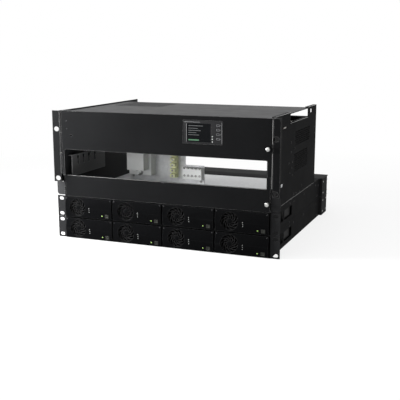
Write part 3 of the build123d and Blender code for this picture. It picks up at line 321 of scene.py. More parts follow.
def soften(piece, width, segments=2):
    """Rounds sharp edges: doubles are welded, flat triangles joined, then each edge is bevelled."""
    weld = piece.modifiers.new("weld", "WELD")
    weld.merge_threshold = 0.00001
    flat = piece.modifiers.new("flat", "DECIMATE")
    flat.decimate_type = "DISSOLVE"
    flat.angle_limit = math.radians(0.5)
    edges = piece.modifiers.new("edges", "BEVEL")
    edges.width = width
    edges.segments = segments
    edges.limit_method = "ANGLE"
    edges.angle_limit = math.radians(32)
    edges.use_clamp_overlap = True
    shade = piece.modifiers.new("shade", "WEIGHTED_NORMAL")
    shade.keep_sharp = True


for name, node in nodes.items():
    node.data.materials.clear()
    node.data.materials.append(NODE_FINISH[name])

SHEET_NODES = (
    "shelf_lower", "shelf_upper", "rear_box_lower", "rear_box_upper", "side_plate_left",
    "side_plate_right", "bay_floor", "top_cover", "rear_rail", "ear_upper_left",
    "ear_upper_right", "front_door", "lower_panel", "cable_bracket", "mounting_plate",
)
MOULDED_NODES = (
    "controller_case", "terminal_block", "earth_terminals", "contactor",
    "busbar_holder_left", "busbar_holder_right", "busbar_plus", "busbar_minus",
)
for name in SHEET_NODES:
    soften(nodes[name], 0.45 * MM)
for name in MOULDED_NODES:
    soften(nodes[name], 0.6 * MM)
for number in MODULES:
    soften(nodes[f"rectifier_{number}_case"], 0.3 * MM)
    soften(nodes[f"rectifier_{number}_latch"], 0.35 * MM)
for number in BUTTONS:
    soften(nodes[f"controller_button_{number}"], 0.25 * MM)


# Meshes worked out with numpy

def add_mesh(name, points, faces, material, body, merge=True, smooth=True):
    """Object from arrays of points in metres and faces, its doubles merged, riding on a body."""
    mesh = bpy.data.meshes.new(name)
    mesh.from_pydata(np.asarray(points).tolist(), [], [list(face) for face in faces])
    mesh.materials.append(material)
    if merge:
        work = bmesh.new()
        work.from_mesh(mesh)
        bmesh.ops.remove_doubles(work, verts=work.verts, dist=1e-7)
        bmesh.ops.dissolve_degenerate(work, edges=work.edges, dist=1e-8)
        bmesh.ops.recalc_face_normals(work, faces=work.faces)
        work.to_mesh(mesh)
        work.free()
    mesh.polygons.foreach_set("use_smooth", np.full(len(mesh.polygons), smooth))
    mesh.set_sharp_from_angle(angle=math.radians(35))
    piece = bpy.data.objects.new(name, mesh)
    bpy.context.scene.collection.objects.link(piece)
    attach(piece, body)
    return piece


def ring_faces(rings, steps):
    """Quads between rings of points, each ring joined to the next and closed on itself."""
    ring = np.arange(rings - 1)[:, None] * steps
    step = np.arange(steps)[None, :]
    after = (step + 1) % steps
    return np.stack([ring + step, ring + after, ring + steps + after, ring + steps + step],
                    axis=-1).reshape(-1, 4)


def turned(profile, steps, shape=None):
    """Points of a profile of (radius, height) turned about Z.

    A point at angle t is (r cos t, r sin t, h). shape, where given, is a function that returns
    the factor on the radius for arrays of radius, height and angle.
    """
    profile = np.asarray(profile, float)
    angle = np.linspace(0, 2 * np.pi, steps, endpoint=False)
    radius = profile[:, :1] * np.ones(steps)
    height = profile[:, 1:] * np.ones(steps)
    if shape is not None:
        radius = radius * shape(radius, height, angle[None, :])
    points = np.stack([radius * np.cos(angle), radius * np.sin(angle), height], axis=-1)
    return points.reshape(-1, 3), ring_faces(len(profile), steps)


def aimed(points, axis):
    """Points turned so that their Z lies along an axis."""
    turn = Vector((0, 0, 1)).rotation_difference(Vector(axis)).to_matrix()
    return points @ np.array(turn).T


def copies(points, faces, places):
    """One shape at many places: every place is added to all its points."""
    places = np.asarray(places, float)
    every = (points[None] + places[:, None]).reshape(-1, 3)
    shift = np.arange(len(places))[:, None, None] * len(points)
    return every, (faces[None] + shift).reshape(-1, faces.shape[1])


def hexagon(radius, height, angle):
    """Factor that turns a circle into a hexagon of the same corner radius.

    It is the cosine of half a sector over the cosine of the angle from the sector's middle.
    """
    sector = np.pi / 3
    return math.cos(sector / 2) / np.cos((angle % sector) - sector / 2) * np.ones_like(radius)


def screw_shape(radius, height, socket=0.45, steps=24):
    """Button head with a hexagon socket.

    Its dome falls with the square of the way out from the socket's rim to the head's edge.
    """
    rim = radius * socket
    rings = [(0.0, height * 0.25), (rim, height * 0.25), (rim, height * 0.96)]
    for share in np.linspace(0.0, 1.0, 5):
        rings.append((rim + (radius - rim) * (0.08 + 0.92 * share), height * (1 - 0.75 * share ** 2)))
    rings += [(radius, 0.0), (0.0, 0.0)]

    def socket_shape(r, h, angle):
        inside = r <= rim * 1.001
        return np.where(inside, hexagon(r, h, angle), 1.0)

    return turned(rings, steps, socket_shape)


def add_screws(name, radius, height, axis, places, body, material=None):
    """Row of screws as one piece: radius, height and places in millimetres, heads along the axis."""
    points, faces = screw_shape(radius * MM, height * MM)
    every, every_face = copies(aimed(points, axis), faces, spots(places))
    return add_mesh(name, every, every_face, material or BLACK_SCREW, body)


def slab(x0, x1, y0, y1, z0, z1):
    """Points and faces of a block between limits in millimetres."""
    corners = np.array([[x, y, z] for x in (x0, x1) for y in (y0, y1) for z in (z0, z1)], float)
    quads = np.array([[0, 1, 3, 2], [4, 6, 7, 5], [0, 4, 5, 1], [2, 3, 7, 6], [0, 2, 6, 4],
                      [1, 5, 7, 3]])
    return corners, quads


def joined(shapes):
    """Points and faces of several shapes as one."""
    points, faces, base = [], [], 0
    for shape_points, shape_faces in shapes:
        points.append(shape_points)
        faces += [[corner + base for corner in face] for face in shape_faces]
        base += len(shape_points)
    return np.vstack(points), faces


def prisms(places, radius, depth, axis, sides=6):
    """Straight prisms with regular ends, their middles at places in millimetres."""
    angle = np.arange(sides) * 2 * np.pi / sides
    ring = np.stack([radius * np.cos(angle), radius * np.sin(angle), np.zeros(sides)], axis=-1)
    lift = np.array([0.0, 0.0, depth / 2])
    shape = aimed(np.vstack([ring - lift, ring + lift]) * MM, axis)
    every = (shape[None] + spots(places)[:, None]).reshape(-1, 3)
    shift = (np.arange(len(places)) * 2 * sides)[:, None, None]
    caps = np.array([np.arange(sides)[::-1], np.arange(sides, 2 * sides)])
    walls = (ring_faces(2, sides)[None] + shift).reshape(-1, 4).tolist()
    return every, walls + (caps[None] + shift).reshape(-1, sides).tolist()


def cut_copy(name, node, body, cutter_shape, edge=None):
    """Copy of a CAD node, merged and cut by another shape, that takes the node's place."""
    cutter_points, cutter_faces = cutter_shape
    cutter_mesh = bpy.data.meshes.new("cutter")
    cutter_mesh.from_pydata(cutter_points.tolist(), [], cutter_faces)
    work = bmesh.new()
    work.from_mesh(cutter_mesh)
    bmesh.ops.recalc_face_normals(work, faces=work.faces)
    work.to_mesh(cutter_mesh)
    work.free()
    cutter = bpy.data.objects.new("cutter", cutter_mesh)
    mesh = nodes[node].data.copy()
    if "custom_normal" in mesh.attributes:
        mesh.attributes.remove(mesh.attributes["custom_normal"])
    work = bmesh.new()
    work.from_mesh(mesh)
    bmesh.ops.remove_doubles(work, verts=work.verts, dist=1e-6)
    work.to_mesh(mesh)
    work.free()
    piece = bpy.data.objects.new(name, mesh)
    scene_pieces = bpy.context.scene.collection.objects
    scene_pieces.link(piece)
    scene_pieces.link(cutter)
    cut = piece.modifiers.new("cut", "BOOLEAN")
    cut.operation = "DIFFERENCE"
    cut.solver = "EXACT"
    cut.object = cutter
    depsgraph = bpy.context.evaluated_depsgraph_get()
    result = bpy.data.meshes.new_from_object(piece.evaluated_get(depsgraph))
    piece.modifiers.clear()
    piece.data = result
    bpy.data.objects.remove(cutter)
    result.polygons.foreach_set("use_smooth", np.full(len(result.polygons), True))
    result.set_sharp_from_angle(angle=math.radians(35))
    if edge is not None:
        soften(piece, edge)
    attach(piece, body)
    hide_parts(node)
    return piece


# Perforated vents: fields of small holes in the top cover and in the right wall

VENT_PITCH = 5.0
VENT_RADIUS = 2.05
VENT_CUT = 4.0
# Limits of each field: X and Y on the cover, Y and Z on the wall
COVER_VENT = ((-195.0, -80.0), (175.0, 278.0))
WALL_VENTS = (((166.0, 284.0), (197.0, 227.0)), ((160.0, 270.0), (143.0, 179.0)))


def hole_field(across, along):
    """Staggered grid between two limits each way.

    Rows lie half of root 3 times the pitch apart, and every second row moves by half a pitch.
    """
    rows = np.arange(along[0], along[1], VENT_PITCH * math.sqrt(3) / 2)
    columns = np.arange(across[0], across[1], VENT_PITCH)
    row, column = np.meshgrid(rows, columns, indexing="ij")
    column = column + (np.arange(len(rows))[:, None] % 2) * VENT_PITCH / 2
    return column.ravel(), row.ravel()


x, y = hole_field(*COVER_VENT)
places = np.stack([x, y, np.full_like(x, COVER_TOP - SHEET / 2)], axis=-1)
cut_copy("cover_sheet", "top_cover", "chassis",
         prisms(places, VENT_RADIUS, VENT_CUT, (0, 0, 1)))
fields = [hole_field(*field) for field in WALL_VENTS]
y = np.concatenate([field[0] for field in fields])
z = np.concatenate([field[1] for field in fields])
places = np.stack([np.full_like(y, WALL_X - SHEET / 2), y, z], axis=-1)
cut_copy("wall_sheet_right", "side_plate_right", "chassis",
         prisms(places, VENT_RADIUS, VENT_CUT, (1, 0, 0)))


# Fan guards: swirling ribs between a hub and a rim, in place of the plain guard of each case

GUARD_RIBS = 11
GUARD_REACH = 17.6
GUARD_HUB = 5.2
GUARD_RING = 11.0
GUARD_SWEEP = math.radians(62)
RIB_WIDTH = 1.15
RIB_FRONT = -3.4
RIB_BACK = -1.8
GUARD_CUT = 2.6
FAN_MIDDLE = (30.0, 20.75)
RIB_SECTION = ((-1, 0.25), (-0.55, 0.0), (0.55, 0.0), (1, 0.25), (1, 1.0), (-1, 1.0))


def guard_ribs(steps=14):
    """Ribs that lean round the hub.

    At share t of the way out, a rib's radius is its start plus t times its length, from just
    inside the hub's edge to just past the rim, and its angle is its start plus sweep times t to
    the power 1.3. Its section has six corners, each a share of half a rib's width to the side of
    that line and a share of the way from the guard's front to its back.
    """
    share = np.linspace(0.0, 1.0, steps)
    radius = GUARD_HUB - 0.4 + share * (GUARD_REACH - GUARD_HUB + 0.6)
    turn = GUARD_SWEEP * share ** 1.3
    line = np.stack([radius * np.cos(turn), radius * np.sin(turn)], axis=-1)
    run = np.gradient(line, axis=0)
    side = np.stack([-run[:, 1], run[:, 0]], axis=-1)
    side *= RIB_WIDTH / 2 / np.linalg.norm(side, axis=1, keepdims=True)
    corners = []
    for sign, depth in RIB_SECTION:
        flat = line + side * sign
        level = np.full((steps, 1), RIB_FRONT + depth * (RIB_BACK - RIB_FRONT))
        corners.append(np.hstack([flat, level]))
    rib = np.stack(corners, axis=1).reshape(-1, 3)
    faces = ring_faces(steps, 6).tolist()
    faces += [list(range(6))[::-1], list(range(6 * (steps - 1), 6 * steps))]
    shapes = []
    for number in range(GUARD_RIBS):
        angle = 2 * np.pi * number / GUARD_RIBS
        spin = np.array([[math.cos(angle), math.sin(angle), 0],
                         [-math.sin(angle), math.cos(angle), 0], [0, 0, 1]])
        shapes.append((rib @ spin, faces))
    return shapes


def guard_rings():
    """Hub disc with a low dome, a middle ring and the rim, each a profile turned about the axis."""
    front, back = RIB_FRONT, RIB_BACK
    hub = [(0.0, front - 0.7), (2.6, front - 0.6), (4.4, front - 0.3), (GUARD_HUB, front + 0.1),
           (GUARD_HUB, back), (0.0, back)]
    shapes = [turned(hub, 40)]
    for radius, width in ((GUARD_RING, 0.5), (GUARD_REACH, 0.55)):
        ring = [(radius - width, front + 0.2), (radius, front), (radius + width, front + 0.2),
                (radius + width, back), (radius - width, back), (radius - width, front + 0.2)]
        shapes.append(turned(ring, 64))
    return shapes


def module_guard(number):
    """Cuts the plain guard out of one case and sets the ribbed one in its place."""
    low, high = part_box(f"rectifier_{number}_case")
    x, z = low.x / MM + FAN_MIDDLE[0], low.z / MM + FAN_MIDDLE[1]
    body = f"rectifier_{number}"
    cutter = prisms([(x, (RIB_FRONT + RIB_BACK) / 2, z)], GUARD_REACH, GUARD_CUT, (0, 1, 0), 40)
    cut_copy(f"{body}_shell", f"{body}_case", body, cutter, 0.3 * MM)
    for part, shapes, material in (
        ("ribs", guard_ribs(), GUARD_BLACK), ("rings", guard_rings(), MODULE_BLACK),
    ):
        points, faces = joined(shapes)
        placed = np.stack([x + points[:, 0], points[:, 2], z + points[:, 1]], axis=-1)
        add_mesh(f"{body}_guard_{part}", spots(placed), faces, material, body)


for number in MODULES:
    module_guard(number)


# Modules: corner screws, status lamps and the lit lamp by the latch

# X from the case's left side and Z over its foot
MODULE_LAMPS = ((57.5, 20.5), (57.5, 16.5), (57.5, 12.5))
MODULE_SCREWS = ((3.5, 38.5), (105.5, 38.5))
MODULE_WIDTH = 109.0
MODULE_DOT_FROM_RIGHT = 22.0
MODULE_DOT_HEIGHT = 6.6
DOME = [(0.0, 0.55), (0.45, 0.48), (0.8, 0.3), (0.95, 0.0), (0.95, -1.0), (0.0, -1.0)]
LAMP_GREEN = glowing("lamp_green", (0.1, 0.17, 0.03), 0.35)
LAMP_CLEAR = moulded("lamp_clear", (0.1, 0.104, 0.1), 0.3)


def bezel_depth(height):
    """Y of the bezel's face at a height over the module's foot: two planes meet at the crease."""
    crease, middle, top = -7.0, 20.75, 41.5
    return np.where(height < middle, -5.0 + (crease + 5.0) * height / middle,
                    crease + (-4.0 - crease) * (height - middle) / (top - middle))


for number in MODULES:
    low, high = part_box(f"rectifier_{number}_case")
    left, foot = low.x / MM, low.z / MM
    body = f"rectifier_{number}"
    add_screws(
        f"{body}_bezel_screws", 1.5, 0.8, (0, -1, 0),
        [(left + x, bezel_depth(z) + 0.1, foot + z) for x, z in MODULE_SCREWS], body,
    )
    dome, dome_faces = turned(DOME, 20)
    lamp_spots = [(left + x, bezel_depth(z) - 0.05, foot + z) for x, z in MODULE_LAMPS]
    every, every_face = copies(aimed(dome * MM, (0, -1, 0)), dome_faces, spots(lamp_spots))
    add_mesh(f"{body}_lamps", every, every_face, LAMP_CLEAR, body)
    dot = [(left + MODULE_WIDTH - MODULE_DOT_FROM_RIGHT, bezel_depth(MODULE_DOT_HEIGHT) - 0.05,
            foot + MODULE_DOT_HEIGHT)]
    every, every_face = copies(aimed(dome * MM * 1.5, (0, -1, 0)), dome_faces, spots(dot))
    add_mesh(f"{body}_lit_lamp", every, every_face, LAMP_GREEN, body)


# Thumb screws: knurled knob with a round recess, shank and collar

KNOB_LENGTH = 8.0
SHANK_RADIUS = 2.0
COLLAR_RADIUS = 2.5


def knurl(radius, height, angle):
    """Factor of 20 shallow flutes on the grip, none on the rest.

    On the grip it is 1 less 0.025 times the sum of 1 and the cosine of 20 times the angle.
    """
    grip = (radius > 3.3 * MM) & (height > 1.2 * MM) & (height < 7.2 * MM)
    return np.where(grip, 1.0 - 0.05 * (1 + np.cos(20 * angle)) / 2, 1.0)


def thumb_screw(name, node, body):
    """Knob, shank, collar and tip as one profile turned about the screw's axis, in the node's place."""
    low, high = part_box(node)
    middle = (low + high) / 2
    knob = (high.z - low.z) / 2 / MM
    tip = KNOB_LENGTH - (high.y - low.y) / MM
    rings = [(0.0, 7.2), (1.7, 7.2), (1.7, 8.0), (knob - 0.8, 8.0), (knob - 0.3, 7.7), (knob, 7.2),
             (knob, 1.2), (knob - 0.3, 0.8), (knob - 0.5, 0.1), (SHANK_RADIUS, 0.1),
             (SHANK_RADIUS, -2.1), (COLLAR_RADIUS, -2.2), (COLLAR_RADIUS, -3.5),
             (SHANK_RADIUS, -3.6), (SHANK_RADIUS, tip + 0.6), (1.5, tip), (0.0, tip)]
    points, faces = turned(np.array(rings) * MM, 100, knurl)
    base = Vector((middle.x, low.y + KNOB_LENGTH * MM, middle.z))
    points = aimed(points, (0, -1, 0)) + np.array(base)
    piece = add_mesh(name, points, faces, STEEL, body)
    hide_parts(node)
    return piece


thumb_screw("knob_upper", "thumb_screw_upper", "door_screw")
thumb_screw("knob_lower", "thumb_screw_lower", "panel_screw")


# Small screws on the walls, and rivets on the door, where the photograph shows bright points

# Y and Z of the wall screws, X and Z of the rivets
WALL_SCREWS = (
    (131, 206), (161, 190), (131, 186), (142, 165), (116, 166), (139, 153), (125, 145), (146, 137),
    (160, 96), (178, 94), (226, 102), (206, 93), (237, 93),
)
SHELF_SCREWS = (
    (162, 80), (132, 81), (247, 80), (246, 34), (354, 80), (382, 75), (373, 52), (365, 32),
    (376, 5), (130, 42), (163, 35), (131, 35),
)
DOOR_RIVETS = ((-208.0, 246.0), (-208.0, 230.0))
for side, sign in (("right", 1), ("left", -1)):
    places = [(sign * (WALL_X - 0.05), y, z) for y, z in WALL_SCREWS + SHELF_SCREWS]
    add_screws(f"wall_screws_{side}", 2.0, 1.0, (sign, 0, 0), places, "chassis")
add_screws("door_rivets", 1.3, 0.6, (0, -1, 0), [(x, -9.95, z) for x, z in DOOR_RIVETS], "door")


# Painted highlights: thin bright strips along cut and folded sheet edges of the walls, door and lower
# panel

SEAM_Z = 88.9
WALL_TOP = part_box("side_plate_right")[1].z / MM
NOTCH_FLOOR = WALL_TOP - 21.6
NOTCH_SPAN = (123.0, 267.0)
EDGE = 0.45
PROUD = 0.08
SCREW_GAP = 9.0
CORNER_INSET = 9.0
LID_OVERHANG = 1.05


def edge_strips(name, shapes, body):
    """Thin bright strips of painted highlight, joined into one piece."""
    points, faces = joined(shapes)
    add_mesh(name, spots(points), faces, HIGHLIGHT_STRIP, body, smooth=False)


def wall_edges(sign):
    """Seam at the wall's foot, folded tops before and behind the notch, and the notch's floor."""
    near, far = sorted((sign * (WALL_X - EDGE), sign * (WALL_X + PROUD)))
    runs = (
        (61.0, 340.0, SEAM_Z - EDGE / 2, SEAM_Z + EDGE / 2),
        (20.0, NOTCH_SPAN[0] - 1, WALL_TOP - EDGE, WALL_TOP + PROUD),
        (NOTCH_SPAN[1] + 1, 340.0, WALL_TOP - EDGE, WALL_TOP + PROUD),
        (NOTCH_SPAN[0] + 1, NOTCH_SPAN[1] - 1, NOTCH_FLOOR - EDGE, NOTCH_FLOOR + PROUD),
    )
    return [slab(near, far, *run) for run in runs]


# Painted highlights along the walls' foot seam, folded tops and notch floor.
edge_strips("wall_edges_right", wall_edges(1), "chassis")
edge_strips("wall_edges_left", wall_edges(-1), "chassis")

DOOR_LOW, DOOR_HIGH = (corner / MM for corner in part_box("front_door"))
DOOR_FRONT = -10.0
door_knob = sum(corner.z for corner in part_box("thumb_screw_upper")) / 2 / MM
DOOR_RUNS = ((DOOR_LOW.z + 2, door_knob - SCREW_GAP), (door_knob + SCREW_GAP, DOOR_HIGH.z - 2))
# Painted highlight along the door's right edge, broken at the knob.
edge_strips("door_edges", [
    slab(DOOR_HIGH.x - EDGE, DOOR_HIGH.x + PROUD, DOOR_FRONT - PROUD, DOOR_FRONT + EDGE, low, high)
    for low, high in DOOR_RUNS
], "door")
PANEL_FRONT = -3.0
PANEL_TOP = 133.4
PANEL_RUNS = ((-214.0, -193.0), (-183.0, -3.0), (7.0, 214.0))
# Painted highlight along the lower panel's top fold.
edge_strips("panel_edges", [
    slab(left, right, PANEL_FRONT - PROUD, PANEL_FRONT + EDGE * 0.5,
         PANEL_TOP - EDGE * 0.6, PANEL_TOP + PROUD)
    for left, right in PANEL_RUNS
], "panel")

for level in ("lower", "upper"):
    low, high = (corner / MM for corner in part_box(f"rear_box_{level}"))
    near, far = low.y - EARS_Y / MM, high.y - EARS_Y / MM
    for side, sign in (("right", 1), ("left", -1)):
        places = [(sign * (high.x - LID_OVERHANG), y, z)
                  for y in (near + CORNER_INSET, far - CORNER_INSET)
                  for z in (low.z + CORNER_INSET, high.z - CORNER_INSET)]
        add_screws(f"rear_screws_{level}_{side}", 1.8, 0.9, (sign, 0, 0), places, "chassis",
                   STEEL)


# Controller: display content, frame, lamps

SCREEN_LOW, SCREEN_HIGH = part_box("controller_screen")
DISPLAY_GREEN = glowing("display_green", (0.006, 0.045, 0.016), 0.7)
LAMP_PALE = glowing("lamp_pale", (0.2, 0.21, 0.2), 0.6)
DISPLAY_GREY = glowing("display_grey", (0.01, 0.011, 0.012), 0.2)
FRAME_GREY = moulded("display_frame", (0.08, 0.081, 0.083), 0.4)


def on_screen(x0, x1, z0, z1):
    """Thin strip on the display, by shares of its width and height."""
    width = (SCREEN_HIGH.x - SCREEN_LOW.x) / MM
    height = (SCREEN_HIGH.z - SCREEN_LOW.z) / MM
    left, bottom = SCREEN_LOW.x / MM, SCREEN_LOW.z / MM
    face = (SCREEN_LOW.y - EARS_Y) / MM
    return slab(left + width * x0, left + width * x1, face - 0.08, face + 0.02,
                bottom + height * z0, bottom + height * z1)


# Length and level of each row, as shares of the display's width and height
DISPLAY_ROWS = ((0.62, 0.86), (0.4, 0.72), (0.52, 0.6), (0.34, 0.48), (0.46, 0.36))
points, faces = joined([on_screen(0.05, 0.5, 0.06, 0.13)])
add_mesh("display_bar", spots(points), faces, DISPLAY_GREEN, "door", smooth=False)
rows = [on_screen(0.05, 0.05 + share, level, level + 0.035) for share, level in DISPLAY_ROWS]
points, faces = joined(rows)
add_mesh("display_rows", spots(points), faces, DISPLAY_GREY, "door", smooth=False)

FACE_Y = (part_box("controller_case")[0].y - EARS_Y) / MM
FRAME_LINE = 0.7
LAMP_X = 108.5
LAMP_LEVELS = (228.0, 223.0, 218.0)


def frame_line(x0, x1, z0, z1):
    """Thin raised line on the controller's face."""
    return slab(x0, x1, FACE_Y - 0.12, FACE_Y + 0.1, z0, z1)


screen_left = SCREEN_LOW.x / MM
screen_bottom, screen_top = SCREEN_LOW.z / MM, SCREEN_HIGH.z / MM
line_top = screen_top + 2.6
lines = [
    frame_line(screen_left - 7.0, screen_left + 26.0, line_top, line_top + FRAME_LINE),
    frame_line(screen_left - 1.6, screen_left - 1.6 + FRAME_LINE, screen_bottom, screen_top),
    frame_line(127.0, 127.0 + FRAME_LINE, screen_bottom - 2.0, line_top + 1.0),
]
points, faces = joined(lines)
add_mesh("controller_lines", spots(points), faces, FRAME_GREY, "door",
         smooth=False)
lamp, lamp_faces = turned([(0.0, 0.5), (0.6, 0.42), (1.0, 0.15), (1.1, -0.4), (0.0, -0.4)], 20)
every, every_face = copies(
    aimed(lamp * MM, (0, -1, 0)), lamp_faces, spots([(LAMP_X, FACE_Y, z) for z in LAMP_LEVELS])
)
add_mesh("controller_lamps", every, every_face, LAMP_PALE, "door")


def button_outline(low, high):
    """Raised line round a button's face: a turned ring drawn out towards a square.

    Each point is moved out by its distance from the middle over its larger coordinate, to the
    power 0.6, and then scaled to the button's half width and half height.
    """
    ring = [(0.72, 0.0), (0.72, 0.12), (0.9, 0.12), (0.9, 0.0), (0.72, 0.0)]
    middle = (low + high) / 2
    outer = np.array([(high.x - low.x) / 2 / MM, (high.z - low.z) / 2 / MM])
    points, faces = turned(ring, 48)
    square = np.abs(points[:, :2]).max(axis=1, keepdims=True) + 1e-9
    reach = np.linalg.norm(points[:, :2], axis=1, keepdims=True)
    flat = points[:, :2] * (reach / square) ** 0.6 * outer
    placed = np.stack([middle.x / MM + flat[:, 0], (low.y - EARS_Y) / MM - points[:, 2],
                       middle.z / MM + flat[:, 1]], axis=-1)
    return placed, faces


BUTTON_MARK = [(0.0, 0.3), (0.5, 0.2), (0.7, 0.0), (0.7, -0.2), (0.0, -0.2)]
MARK_FROM_MIDDLE = 5.0
for number in BUTTONS:
    low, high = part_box(f"controller_button_{number}")
    middle = (low + high) / 2
    placed, faces = button_outline(low, high)
    add_mesh(f"button_{number}_outline", spots(placed), faces, FRAME_GREY, f"button_{number}")
    dot, dot_faces = turned(BUTTON_MARK, 16)
    every, every_face = copies(
        aimed(dot * MM, (0, -1, 0)), dot_faces,
        spots([(middle.x / MM + MARK_FROM_MIDDLE, FACE_Y, middle.z / MM)]),
    )
    add_mesh(f"button_{number}_mark", every, every_face, FRAME_GREY, "door")


# Bay: screws of the plates and terminals, nuts of the contactor, bolts of the busbars

TERMINALS = 5
STUD_REACH = 27.0
STUD_INSET = 7.0
BUSBAR_BOLTS = (-80.0, -40.0, 0.0, 40.0, 80.0)


def bolt_shape(radius, height, steps=24):
    """Washer under a hexagon head: a profile turned about its axis, the head made six-sided."""
    washer = radius * 1.25
    rings = [(0.0, height), (radius * 0.8, height), (radius, height * 0.86), (radius, height * 0.25),
             (washer, height * 0.24), (washer, 0.0), (0.0, 0.0)]

    def head(r, h, angle):
        on_head = (r <= radius * MM * 1.001) & (h > height * MM * 0.2)
        return np.where(on_head, hexagon(r, h, angle), 1.0)

    return turned(np.array(rings) * MM, steps, head)


def add_bolts(name, radius, height, axis, places):
    """Row of steel bolts as one piece: radius, height and places in millimetres."""
    points, faces = bolt_shape(radius, height)
    every, every_face = copies(aimed(points, axis), faces, spots(places))
    return add_mesh(name, every, every_face, STEEL, "chassis")


plate_low, plate_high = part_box("mounting_plate")
block_low, block_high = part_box("terminal_block")
earth_low, earth_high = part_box("earth_terminals")
coil_low, coil_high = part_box("contactor")
plate_face = (plate_low.y - EARS_Y) / MM
block_face = (block_low.y - EARS_Y) / MM
earth_face = (earth_low.y - EARS_Y) / MM
pitch = (block_high.x - block_low.x) / MM / TERMINALS
add_screws("terminal_screws", 2.6, 0.9, (0, -1, 0),
           [(block_low.x / MM + (index + 0.5) * pitch, block_face, block_low.z / MM + 8.0)
            for index in range(TERMINALS)], "chassis", STEEL)
add_screws("earth_screws", 2.4, 0.9, (0, -1, 0),
           [((earth_low.x + earth_high.x) / 2 / MM, earth_face, earth_low.z / MM + 6.0 + 12.0 * index)
            for index in range(TERMINALS)], "chassis", STEEL)
add_screws("plate_screws", 3.0, 1.6, (0, -1, 0),
           [(plate_low.x / MM + 8.0, plate_face, plate_low.z / MM + 12.0),
            (plate_low.x / MM + 8.0, plate_face, plate_high.z / MM - 8.0),
            (-45.0, plate_face, plate_high.z / MM - 8.0),
            (0.0, plate_face, plate_low.z / MM + 8.0)], "chassis", STEEL)
stud_x = (coil_low.x + coil_high.x) / 2 / MM
add_bolts("contactor_nuts", 6.5, 5.0, (0, -1, 0),
          [(stud_x, plate_face - STUD_REACH, z)
           for z in (coil_low.z / MM + STUD_INSET, coil_high.z / MM - STUD_INSET)])
bar_low, bar_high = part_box("busbar_minus")
add_bolts("busbar_bolts", 6.0, 4.5, (0, 1, 0),
          [(x, (bar_high.y - EARS_Y) / MM, (bar_low.z + bar_high.z) / 2 / MM)
           for x in BUSBAR_BOLTS])


# Floor, light and camera

AMBIENT = 0.45
BACKDROP_SHARE = 0.8

# Name, place, aim, size and power of each lamp
SOFT_BOXES = (
    ("key", (-0.57, -0.47, 0.36), (-0.2, -0.22, 0.18), (0.35, 0.35), 24),
    ("strip", (-0.1, -0.75, 1.15), (0.0, -0.22, 0.05), (1.2, 0.25), 7),
    ("front", (-0.62, -1.75, 0.44), (0.0, -0.22, 0.05), (1.3, 0.35), 12),
    ("back", (-0.7, 1.9, 0.75), (0.0, 0.0, 0.25), (2.2, 0.9), 6),
    ("top", (0.2, -0.2, 1.7), (0.0, 0.0, 0.2), (1.4, 1.0), 10),
)


def plain_floor():
    """Pale floor that keeps the object's shadow, and that the camera sees as a pale backdrop."""
    points = np.array([[-6, -6, 0], [6, -6, 0], [6, 6, 0], [-6, 6, 0]], float)
    mesh = bpy.data.meshes.new("floor")
    mesh.from_pydata(points.tolist(), [], [(0, 1, 2, 3)])
    floor = bpy.data.objects.new("floor", mesh)
    bpy.context.scene.collection.objects.link(floor)
    finish = Finish("pale_floor", (0.8, 0.8, 0.8), 0.9, specular=0.1)
    finish.set("Base Color", finish.blend(finish.noise(3, 3.0), (0.79, 0.79, 0.79), (0.81, 0.81, 0.81)))
    glow = finish.add("ShaderNodeEmission", {"Color": (1, 1, 1, 1), "Strength": 1.0})
    path = finish.add("ShaderNodeLightPath").outputs
    seen = finish.maths("MAXIMUM", path["Is Camera Ray"], finish.maths(
        "MAXIMUM", path["Is Glossy Ray"], path["Is Transmission Ray"]
    ))
    away = finish.add("ShaderNodeVectorMath", {0: finish.place}, operation="LENGTH").outputs["Value"]
    share = finish.add("ShaderNodeMapRange", {
        "Value": away, "From Min": 0.4, "From Max": 1.3, "To Min": BACKDROP_SHARE, "To Max": 1.0,
    }, clamp=True).outputs["Result"]
    share = finish.maths("MULTIPLY", seen, share)
    mixed = finish.add("ShaderNodeMixShader", {0: share})
    finish.tree.links.new(finish.shader.outputs[0], mixed.inputs[1])
    finish.tree.links.new(glow.outputs[0], mixed.inputs[2])
    output = finish.tree.nodes["Material Output"]
    finish.tree.links.new(mixed.outputs[0], output.inputs["Surface"])
    mesh.materials.append(finish.material)


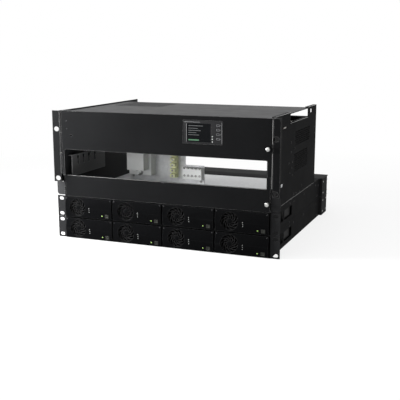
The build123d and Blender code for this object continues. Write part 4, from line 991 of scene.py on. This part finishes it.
def studio_world():
    """Even pale surround: white to the camera, softer as a light."""
    world = bpy.data.worlds.new("studio")
    bpy.context.scene.world = world
    world.use_nodes = True
    tree = world.node_tree
    background = tree.nodes["Background"]
    path = tree.nodes.new("ShaderNodeLightPath").outputs
    shiny = tree.nodes.new("ShaderNodeMath")
    shiny.operation = "MAXIMUM"
    tree.links.new(path["Is Glossy Ray"], shiny.inputs[0])
    tree.links.new(path["Is Transmission Ray"], shiny.inputs[1])
    either = tree.nodes.new("ShaderNodeMath")
    either.operation = "MAXIMUM"
    tree.links.new(path["Is Camera Ray"], either.inputs[0])
    tree.links.new(shiny.outputs[0], either.inputs[1])
    seen = tree.nodes.new("ShaderNodeMapRange")
    seen.inputs["To Min"].default_value = AMBIENT
    seen.inputs["To Max"].default_value = 1.0
    tree.links.new(either.outputs[0], seen.inputs["Value"])
    tree.links.new(seen.outputs["Result"], background.inputs["Strength"])
    background.inputs["Color"].default_value = (1, 1, 1, 1)


def add_soft_box(name, place, target, size, power):
    """Rectangular lamp, in metres and watts, turned towards its target."""
    lamp = bpy.data.lights.new(name, "AREA")
    lamp.shape = "RECTANGLE"
    lamp.size, lamp.size_y = size
    lamp.energy = power
    light = bpy.data.objects.new(name, lamp)
    light.location = place
    light.rotation_euler = (Vector(target) - Vector(place)).to_track_quat("-Z", "Y").to_euler()
    bpy.context.scene.collection.objects.link(light)


def add_camera():
    """Camera at the fitted eye point, turned by the fitted azimuth and elevation."""
    camera = bpy.data.cameras.new("camera")
    camera.lens = CAMERA_LENS
    camera.sensor_width = CAMERA_SENSOR
    camera.clip_end = 50
    eye = bpy.data.objects.new("camera", camera)
    eye.location = CAMERA_EYE
    azimuth, elevation = math.radians(CAMERA_AZIMUTH), math.radians(CAMERA_ELEVATION)
    forward = Vector((-math.sin(azimuth) * math.cos(elevation),
                      math.cos(azimuth) * math.cos(elevation), -math.sin(elevation)))
    eye.rotation_euler = forward.to_track_quat("-Z", "Y").to_euler()
    bpy.context.scene.collection.objects.link(eye)
    bpy.context.scene.camera = eye


plain_floor()
studio_world()
for soft_box in SOFT_BOXES:
    add_soft_box(*soft_box)
add_camera()

bpy.context.scene.view_settings.view_transform = "Standard"
